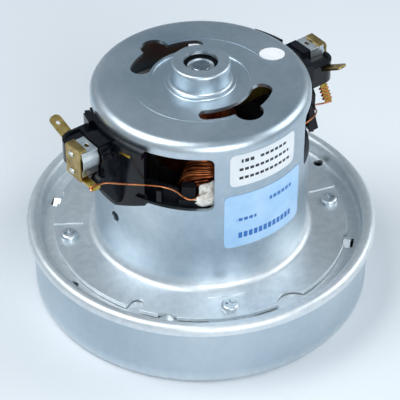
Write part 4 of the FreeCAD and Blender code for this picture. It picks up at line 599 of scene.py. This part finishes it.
# Leads from each coil to its tab: points out, across and up, and half a turn for the left side
TURNS = {"right": 0.0, "left": math.pi}
LEADS = {
    "left": ((56.1, 9.8, 74.75), (51.2, 9.75, 74.75), (47.2, 13.2, 74.4), (42.6, 16.9, 74.1),
             (38.0, 20.6, 73.9), (34.0, 24.0, 73.1), (30.9, 25.9, 71.0), (29.0, 26.5, 68.2),
             (27.1, 28.4, 66.6), (25.2, 29.5, 66.8), (22.8, 28.4, 67.5), (20.7, 27.9, 68.2)),
    "right": ((56.1, -10.47, 62.95), (51.0, -10.9, 64.2), (46.4, -12.0, 66.6), (42.9, -15.4, 69.3),
              (39.8, -19.8, 71.9), (36.9, -23.6, 74.0), (32.3, -26.5, 75.2), (27.0, -27.8, 75.3),
              (22.1, -26.4, 74.2)),
}
# The tab's wrapped stretch: first and last point across and up, and how many turns
WRAPS = {"left": ((9.0, 74.05), (9.8, 74.05), 1), "right": ((-9.5, 63.95), (-6.6, 68.6), 4)}
WRAP_OUT = 54.9
WRAP_STEPS = 20
TAB_HALF_WIDTH = 1.62
TAB_HALF_SHEET = 0.42


def around(radius, degrees, height):
    """A point at a radius, an angle and a height, all given in millimetres and degrees."""
    angle = math.radians(degrees)
    return Vector((radius * math.cos(angle), radius * math.sin(angle), height)) * MM


def rounded_loop(half_width, low, high, corner, spacing):
    """A closed loop of points across and up: a rectangle with round corners."""
    points = []
    corners = ((half_width - corner, high - corner, 0), (corner - half_width, high - corner, 90),
               (corner - half_width, low + corner, 180), (half_width - corner, low + corner, 270))
    for across, up, first in corners:
        for step in range(7):
            angle = math.radians(first + 15 * step)
            points.append((across + corner * math.cos(angle), up + corner * math.sin(angle)))
    dense = []
    for near, far in zip(points, points[1:] + points[:1]):
        count = max(1, round(math.dist(near, far) / spacing))
        for step in range(count):
            share = step / count
            dense.append((near[0] + (far[0] - near[0]) * share, near[1] + (far[1] - near[1]) * share))
    return dense + dense[:1]


def coil_turn(middle, layer, inset, dice):
    """One turn of a field coil: a saddle loop on its layer's radius, wandering as a wound wire does."""
    radius = COIL_INNER + layer * COIL_PITCH
    slot_room = radius * (math.radians(COIL_SPREAD) - math.asin(NECK_HALF / radius)) - SLOT_GAP
    inset_side = inset * slot_room / (COIL_INSETS - 1)
    inset_end = inset * END_ROOM / (COIL_INSETS - 1)
    half_width = radius * math.radians(COIL_SPREAD) - inset_side
    corner = COIL_CORNER - CORNER_LOSS * inset / COIL_INSETS
    lift, drift, phase = dice.uniform(-0.6, 0.6), dice.uniform(-0.25, 0.25), dice.uniform(0, 40)
    turn = []
    for across, up in rounded_loop(half_width, COIL_LOW + inset_end, COIL_HIGH - inset_end, corner,
                                   POINT_PITCH):
        wander = Vector((across / STRAY_LENGTH + phase, up / STRAY_LENGTH, layer + inset * 3.1))
        shift = field.noise(wander) * STRAY
        height = min(max(up + (lift + shift) * 0.9, COIL_LOW), COIL_HIGH)
        angle = middle + math.degrees(across / radius)
        turn.append(around(min(radius + drift + shift, COIL_OUTER), angle, height))
    return turn


def coil_turns(middle, seed):
    """The turns that can be seen: two layers deep outside and over the ends, one inside."""
    dice = random.Random(seed)
    places = [(layer, inset) for layer in range(COIL_LAYERS) for inset in range(COIL_INSETS)
              if layer in (0, COIL_LAYERS - 2, COIL_LAYERS - 1) or inset in (0, 1, COIL_INSETS - 1)]
    return [coil_turn(middle, layer, inset, dice) for layer, inset in places]


def end_turns(face, tip, count, dice):
    """Turns over one end of the armature: each leaves a slot, leans over the end and enters another."""
    paths = []
    for number in range(count):
        start, depth = dice.uniform(*STRAND_STARTS), dice.uniform(*STRAND_DEPTHS)
        height = (tip - face) * dice.uniform(0.35, 0.93)
        path = []
        for step in range(STRAND_POINTS + 1):
            share = step / STRAND_POINTS
            arch = math.sin(math.pi * share)
            path.append(around(start - (start - depth) * arch ** 1.5 + arch * 1.2,
                               STRAND_REACH * (2 * share - 1), face + height * arch ** 0.45))
        paths.append(path)
    return paths


def fibre_roll(name, radius, thickness, high, first, last, seed):
    """A sheet of pressed fibre on edge, folded over at its top, uneven, and lower at its ends."""
    along, around_section = 150, 30
    low, droop = FIBRE_FOOT, FIBRE_DROOP
    points, faces = [], []
    for step in range(along + 1):
        share = step / along
        # 0 at either end of the roll and 1 a ninth of its length further in
        end = min(share, 1 - share) * 9
        full = min(1.0, 0.35 + end)
        top = high - droop * max(0.0, 1 - end) - 0.6 * math.sin(share * 11 + seed)
        for turn in range(around_section):
            angle = 2 * math.pi * turn / around_section
            across = math.cos(angle) * thickness / 2 * full
            up = (low + top) / 2 + math.sin(angle) * (top - low) / 2
            degrees = first + (last - first) * share
            place = around(radius + across, degrees, up)
            # lumps of about 1.7 mm, and tufts of about 0.5 mm on them
            fluff = field.noise(place * 600 + Vector((seed, 0, 0))) * 0.5
            fluff += field.noise(place * 1900) * 0.22
            points.append(around(radius + across + fluff * math.cos(angle), degrees,
                                 up + fluff * math.sin(angle)))
    for step in range(along):
        for turn in range(around_section):
            here = step * around_section + turn
            beside = step * around_section + (turn + 1) % around_section
            faces.append((here, here + around_section, beside + around_section, beside))
    faces.append(tuple(range(around_section)))
    faces.append(tuple(reversed(range(along * around_section, (along + 1) * around_section))))
    mesh = bpy.data.meshes.new(name)
    mesh.from_pydata(points, [], faces)
    work = bmesh.new()
    work.from_mesh(mesh)
    bmesh.ops.recalc_face_normals(work, faces=work.faces)
    work.to_mesh(mesh)
    work.free()
    mesh.shade_smooth()
    return link(name, mesh)


def joined(name, pieces):
    """One object from several, at the origin."""
    work = bmesh.new()
    for piece in pieces:
        work.from_mesh(piece.data)
        bpy.data.objects.remove(piece)
    mesh = bpy.data.meshes.new(name)
    work.to_mesh(mesh)
    work.free()
    mesh.shade_smooth()
    return link(name, mesh)


def wrapped_tab(side, radius):
    """The lead's turns round the end of the brass tab."""
    (across, up), (last_across, last_up), count = WRAPS[side]
    first, last = Vector((0, across, up)), Vector((0, last_across, last_up))
    run = (last - first).normalized()
    face = Vector((0, -run.z, run.y))
    steps = WRAP_STEPS * count
    path = []
    for step in range(steps + 1):
        angle = 2 * math.pi * step / WRAP_STEPS
        out = Vector((WRAP_OUT + math.cos(angle) * (TAB_HALF_WIDTH + radius), 0, 0))
        off = face * math.sin(angle) * (TAB_HALF_SHEET + radius)
        path.append((out + first.lerp(last, step / steps) + off) * MM)
    return path


def wind_spring(side, wire, turns):
    """The coil spring behind a brush, wound at the length of its node; the real spring shortens as the
    brush slides out.
    """
    node = f"brush_spring_{side}"
    places = [vertex.co for vertex in frame["nodes"][node].data.vertices]
    outer_end = max((place.x for place in places), key=abs)
    brush_end = min((place.x for place in places), key=abs)
    low, high = min(place.z for place in places), max(place.z for place in places)
    radius, height = (high - low) / 2 - wire, (high + low) / 2
    inset = math.copysign(wire, outer_end)
    steps = WRAP_STEPS * turns
    path = []
    for step in range(steps + 1):
        angle = 2 * math.pi * step / WRAP_STEPS
        along = brush_end + inset + (outer_end - brush_end - 2 * inset) * step / steps
        path.append(Vector((along, radius * math.cos(angle), height + radius * math.sin(angle))))
    piece = settle(wired(f"{node}_wound", [path], wire, MATERIALS["spring_steel"], sides=8), [node])
    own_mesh(piece)


# Settings


class MotorCasingSettings(bpy.types.PropertyGroup):
    sheet_edge: bpy.props.FloatProperty(
        name="Sheet edge", description="Radius left on the pressed sheet's edges",
        default=0.25 * MM, unit="LENGTH")
    drawn_edge: bpy.props.FloatProperty(
        name="Drawn edge", description="Radius of the soft edges round the can's vents and windows",
        default=0.95 * MM, unit="LENGTH")
    moulded_edge: bpy.props.FloatProperty(
        name="Moulded edge", description="Radius of the moulded pieces' edges",
        default=0.35 * MM, unit="LENGTH")
    strip_edge: bpy.props.FloatProperty(
        name="Strip edge", description="Radius left on the punched strips' edges",
        default=0.12 * MM, unit="LENGTH")


class MotorWindingSettings(bpy.types.PropertyGroup):
    wire: bpy.props.FloatProperty(
        name="Wire radius", description="Radius of the field wire with its enamel",
        default=0.46 * MM, unit="LENGTH")
    lead: bpy.props.FloatProperty(
        name="Lead radius", description="Radius of the leads to the brush gear",
        default=0.35 * MM, unit="LENGTH")
    armature_wire: bpy.props.FloatProperty(
        name="Armature wire radius", description="Radius of the armature's wire", default=0.36 * MM,
        unit="LENGTH")
    spring_wire: bpy.props.FloatProperty(
        name="Spring wire radius", description="Radius of the brush springs' wire", default=0.3 * MM,
        unit="LENGTH")
    spring_turns: bpy.props.IntProperty(
        name="Spring turns", description="Turns of each brush spring", default=15)
    armature_slots: bpy.props.IntProperty(
        name="Armature slots", description="Slots that the end turns are repeated round", default=12)
    end_strands: bpy.props.IntProperty(
        name="End strands", description="Strands over each end of the armature, for each slot",
        default=11)
    seed: bpy.props.IntProperty(
        name="Seed", description="Fixed seed for the unevenness of the turns", default=7)


class MotorStageSettings(bpy.types.PropertyGroup):
    floor_colour: bpy.props.FloatVectorProperty(
        name="Floor colour", description="Colour of the plain floor", subtype="COLOR", size=4,
        default=linear("#D8DEE3"))
    lamp_power: bpy.props.FloatProperty(
        name="Lamp power", description="Power of the main soft lamp", default=2.45, unit="POWER")
    lens: bpy.props.FloatProperty(
        name="Lens", description="Focal length on a 36 mm sensor", default=159.06)


# Operators


class MOTOR_OT_dress_hidden(bpy.types.Operator):
    """Gives every carried-over node the finish of its own slot"""
    bl_idname = "motor.dress_hidden"
    bl_label = "Dress Carried Nodes"

    def execute(self, context):
        make_materials()
        for node in frame["nodes"]:
            dress(node)
        return {"FINISHED"}


class MOTOR_OT_casing(bpy.types.Operator):
    """Makes the steel can, the bracket and the fan cover with their soft sheet edges"""
    bl_idname = "motor.casing"
    bl_label = "Casing"

    def execute(self, context):
        edge = context.scene.motor_casing.sheet_edge
        for node in ("fan_cover", "bearing_bracket"):
            edged_copy(node, edge)
        edged_copy("motor_can", edge, soft=self.on_vent_or_window,
                   soft_width=context.scene.motor_casing.drawn_edge)
        return {"FINISHED"}

    def on_vent_or_window(self, point):
        """True on the outer edges of the top vents and of the side windows."""
        radius, height = math.hypot(point.x, point.y) / MM, point.z / MM
        on_top = abs(height - CAN_TOP) < NEAR_TOP and VENTS_FROM < radius < VENTS_TO
        on_wall = abs(radius - CAN_RADIUS) < NEAR_WALL and WINDOWS_FROM < height < WINDOWS_TO
        return on_top or on_wall


class MOTOR_OT_screws(bpy.types.Operator):
    """Makes the flange's pan head screws and the long screws through the stator"""
    bl_idname = "motor.screws"
    bl_label = "Screws"

    def execute(self, context):
        for node in ("flange_screws", "stator_screws"):
            edged_copy(node, 0.0)
        return {"FINISHED"}


class MOTOR_OT_brush_gear(bpy.types.Operator):
    """Makes the moulded holders and their clips, end plates, blades, tabs and tubes"""
    bl_idname = "motor.brush_gear"
    bl_label = "Brush Gear"

    def execute(self, context):
        casing = context.scene.motor_casing
        for side in SIDES:
            edged_copy(f"brush_holder_{side}", casing.moulded_edge)
            for part in ("brush_clip", "blade_terminal", "lead_tab", "brush_tube"):
                edged_copy(f"{part}_{side}", casing.strip_edge)
            self.plate_tongues(edged_copy(f"brush_cap_{side}", casing.strip_edge))
        return {"FINISHED"}

    def plate_tongues(self, piece):
        """Gives the two tongues on the end plate's face the clip's bright finish."""
        piece.data.materials.append(MATERIALS["clip_steel"])
        face = max(abs(vertex.co.x) for vertex in piece.data.vertices) - TONGUES * MM
        for polygon in piece.data.polygons:
            if abs(polygon.center.x) > face:
                polygon.material_index = 1


class MOTOR_OT_windings(bpy.types.Operator):
    """Winds the field coils, the armature's ends, the leads to the tabs and the brush springs"""
    bl_idname = "motor.windings"
    bl_label = "Windings"

    def execute(self, context):
        winding = context.scene.motor_winding
        for number, (name, middle) in enumerate(COILS.items()):
            piece = wired(f"field_coil_{name}_wound", coil_turns(middle, winding.seed + number),
                          winding.wire, MATERIALS["field_copper"])
            settle(piece, [f"field_coil_{name}", f"field_winding_{name}"])
        self.wind_armature(winding)
        for side, turn in TURNS.items():
            self.run_lead(side, turn, winding.lead)
            wind_spring(side, winding.spring_wire, winding.spring_turns)
        return {"FINISHED"}

    def wind_armature(self, winding):
        """The varnished body of the winding in its slots, with loose end turns wound over it."""
        dice = random.Random(winding.seed)
        paths = []
        for face, tip in ARMATURE_ENDS:
            paths += end_turns(face, tip, winding.end_strands, dice)
        turns = wired("armature_end_turns", paths, winding.armature_wire, MATERIALS["armature_copper"],
                      copies=winding.armature_slots, sides=5)
        body = frame["nodes"]["armature_winding"].data.copy()
        for vertex in body.vertices:
            rise = vertex.co.z - ARMATURE_MIDDLE * MM
            if abs(rise) > ARMATURE_HALF * MM and vertex.co.xy.length > SHAFT_RADIUS * MM:
                vertex.co.xy *= SHRINK_IN
                vertex.co.z = ARMATURE_MIDDLE * MM + rise * SHRINK_DOWN
        settle(joined("armature_winding_wound", [turns, link("armature_winding_body", body)]),
               ["armature_winding"])

    def run_lead(self, side, turn, radius):
        """A lead from its tab, round the holder and into the coil, and its turns on the tab."""
        route = softened([Vector(point) * MM for point in LEADS[side]], 3)
        paths = [route, wrapped_tab(side, radius / MM)]
        for path in paths:
            for point in path:
                point.xy = (math.cos(turn) * point.x - math.sin(turn) * point.y,
                            math.sin(turn) * point.x + math.cos(turn) * point.y)
        piece = wired(f"field_lead_{side}_laid", paths, radius, MATERIALS["lead_copper"], sides=10)
        settle(piece, [f"field_lead_{side}"])


class MOTOR_OT_coil_frames(bpy.types.Operator):
    """Makes the moulded coil frames and the fibre sheets"""
    bl_idname = "motor.coil_frames"
    bl_label = "Coil Frames"

    def execute(self, context):
        # the frames' edges are sharper than the holders'
        edge = context.scene.motor_casing.moulded_edge * 0.6
        for node in ("coil_frame_upper", "coil_frame_lower"):
            edged_copy(node, edge)
        rolls = []
        for number, middle in enumerate(COILS.values()):
            for label, (radius, thickness, top, half, seed) in FIBRE_ROLLS.items():
                rolls.append(fibre_roll(f"fibre_{label}_{number}", radius, thickness, top,
                                        middle - half, middle + half, seed + number))
        settle(joined("coil_insulation_pressed", rolls), ["coil_insulation"])
        return {"FINISHED"}


class MOTOR_OT_labels(bpy.types.Operator):
    """Makes the two labels on the can and the oval sticker on its top"""
    bl_idname = "motor.labels"
    bl_label = "Labels"

    def execute(self, context):
        for node in ("white_label", "blue_label", "oval_sticker"):
            edged_copy(node, 0.0)
        return {"FINISHED"}


class MOTOR_OT_stage(bpy.types.Operator):
    """Makes the plain floor, the soft lamps, the world and the camera"""
    bl_idname = "motor.stage"
    bl_label = "Stage"

    def execute(self, context):
        stage = context.scene.motor_stage
        self.make_floor(stage)
        self.make_lamps(stage)
        self.make_world(context.scene)
        self.make_camera(context.scene, stage)
        context.scene.view_settings.view_transform = "Standard"
        return {"FINISHED"}

    def make_floor(self, stage):
        half = 6.0
        # a hair below the motor's foot, so that the two faces don't share a plane
        level = -0.05 * MM
        mesh = bpy.data.meshes.new("floor")
        corners = [(across * half, along * half, level)
                   for across, along in ((-1, -1), (1, -1), (1, 1), (-1, 1))]
        mesh.from_pydata(corners, [], [(0, 1, 2, 3)])
        board = new_material("painted_board", {"Roughness": 0.7, "Base Color": stage.floor_colour})[0]
        mesh.materials.append(board)
        link("floor", mesh)

    def make_lamps(self, stage):
        middle = Vector((0, 0, 0.05))
        # a gridded soft box keeps its light off the floor beneath it
        grid_angle = math.radians(100)
        lamps = (("key_lamp", (-0.45, 0.25, 0.95), 0.7, 1.0),
                 ("fill_lamp", (0.75, -0.35, 0.6), 0.7, 0.5),
                 ("front_lamp", (-0.3, -1.0, 0.6), 0.8, 1.0))
        for name, place, size, share in lamps:
            data = bpy.data.lights.new(name, "AREA")
            data.shape = "DISK"
            data.size = size
            data.energy = stage.lamp_power * share
            data.spread = grid_angle
            lamp = bpy.data.objects.new(name, data)
            lamp.location = place
            lamp.rotation_euler = (middle - lamp.location).to_track_quat("-Z", "Y").to_euler()
            bpy.context.scene.collection.objects.link(lamp)

    def make_world(self, scene):
        world = bpy.data.worlds.new("soft_studio")
        scene.world = world
        world.use_nodes = True
        tree = world.node_tree
        background = tree.nodes["Background"]
        # lighter at the level of the floor and deeper overhead, as in a tent with an open top
        height = add(tree, SEPARATE, {"Vector": add(tree, PLACE).outputs["Generated"]}).outputs["Z"]
        sky = tinted(tree, height, 0.1, 0.85, ("#E6ECF1", "#A6BACA"))
        fill(tree, background, {"Color": sky, "Strength": 0.52})

    def make_camera(self, scene, stage):
        data = bpy.data.cameras.new("camera")
        data.sensor_width = 36.0
        data.lens = stage.lens
        data.clip_start = 0.05
        data.clip_end = 20.0
        camera = bpy.data.objects.new("camera", data)
        # where the photograph was taken from, and what its middle shows
        place = Vector((-323.08, -419.07, 471.64)) * MM
        target = Vector((-0.218, 0.168, 34.427)) * MM
        camera.location = place
        camera.rotation_euler = (target - place).to_track_quat("-Z", "Y").to_euler()
        scene.collection.objects.link(camera)
        scene.camera = camera


class MOTOR_PT_panel(bpy.types.Panel):
    """Lists the motor's pieces and their settings"""
    bl_idname = "MOTOR_PT_panel"
    bl_label = "Universal Motor"
    bl_space_type = "VIEW_3D"
    bl_region_type = "UI"
    bl_category = "Motor"

    def draw(self, context):
        scene = context.scene
        for group in (scene.motor_casing, scene.motor_winding, scene.motor_stage):
            for name in group.__annotations__:
                self.layout.prop(group, name)
        for operator in OPERATORS:
            self.layout.operator(operator.bl_idname)


GROUPS = {
    "motor_casing": MotorCasingSettings,
    "motor_winding": MotorWindingSettings,
    "motor_stage": MotorStageSettings,
}
OPERATORS = (
    MOTOR_OT_dress_hidden,
    MOTOR_OT_casing,
    MOTOR_OT_screws,
    MOTOR_OT_brush_gear,
    MOTOR_OT_windings,
    MOTOR_OT_coil_frames,
    MOTOR_OT_labels,
    MOTOR_OT_stage,
)


def register():
    """Adds the settings, the operators and the panel."""
    for name, group in GROUPS.items():
        bpy.utils.register_class(group)
        setattr(bpy.types.Scene, name, bpy.props.PointerProperty(type=group))
    for operator in OPERATORS:
        bpy.utils.register_class(operator)
    bpy.utils.register_class(MOTOR_PT_panel)


def unregister():
    """Takes them out again."""
    bpy.utils.unregister_class(MOTOR_PT_panel)
    for operator in reversed(OPERATORS):
        bpy.utils.unregister_class(operator)
    for name, group in GROUPS.items():
        delattr(bpy.types.Scene, name)
        bpy.utils.unregister_class(group)


def main():
    """Makes every piece and the stage."""
    register()
    bpy.ops.motor.dress_hidden()
    bpy.ops.motor.casing()
    bpy.ops.motor.screws()
    bpy.ops.motor.brush_gear()
    bpy.ops.motor.windings()
    bpy.ops.motor.coil_frames()
    bpy.ops.motor.labels()
    bpy.ops.motor.stage()


if __name__ == "__main__":
    main()
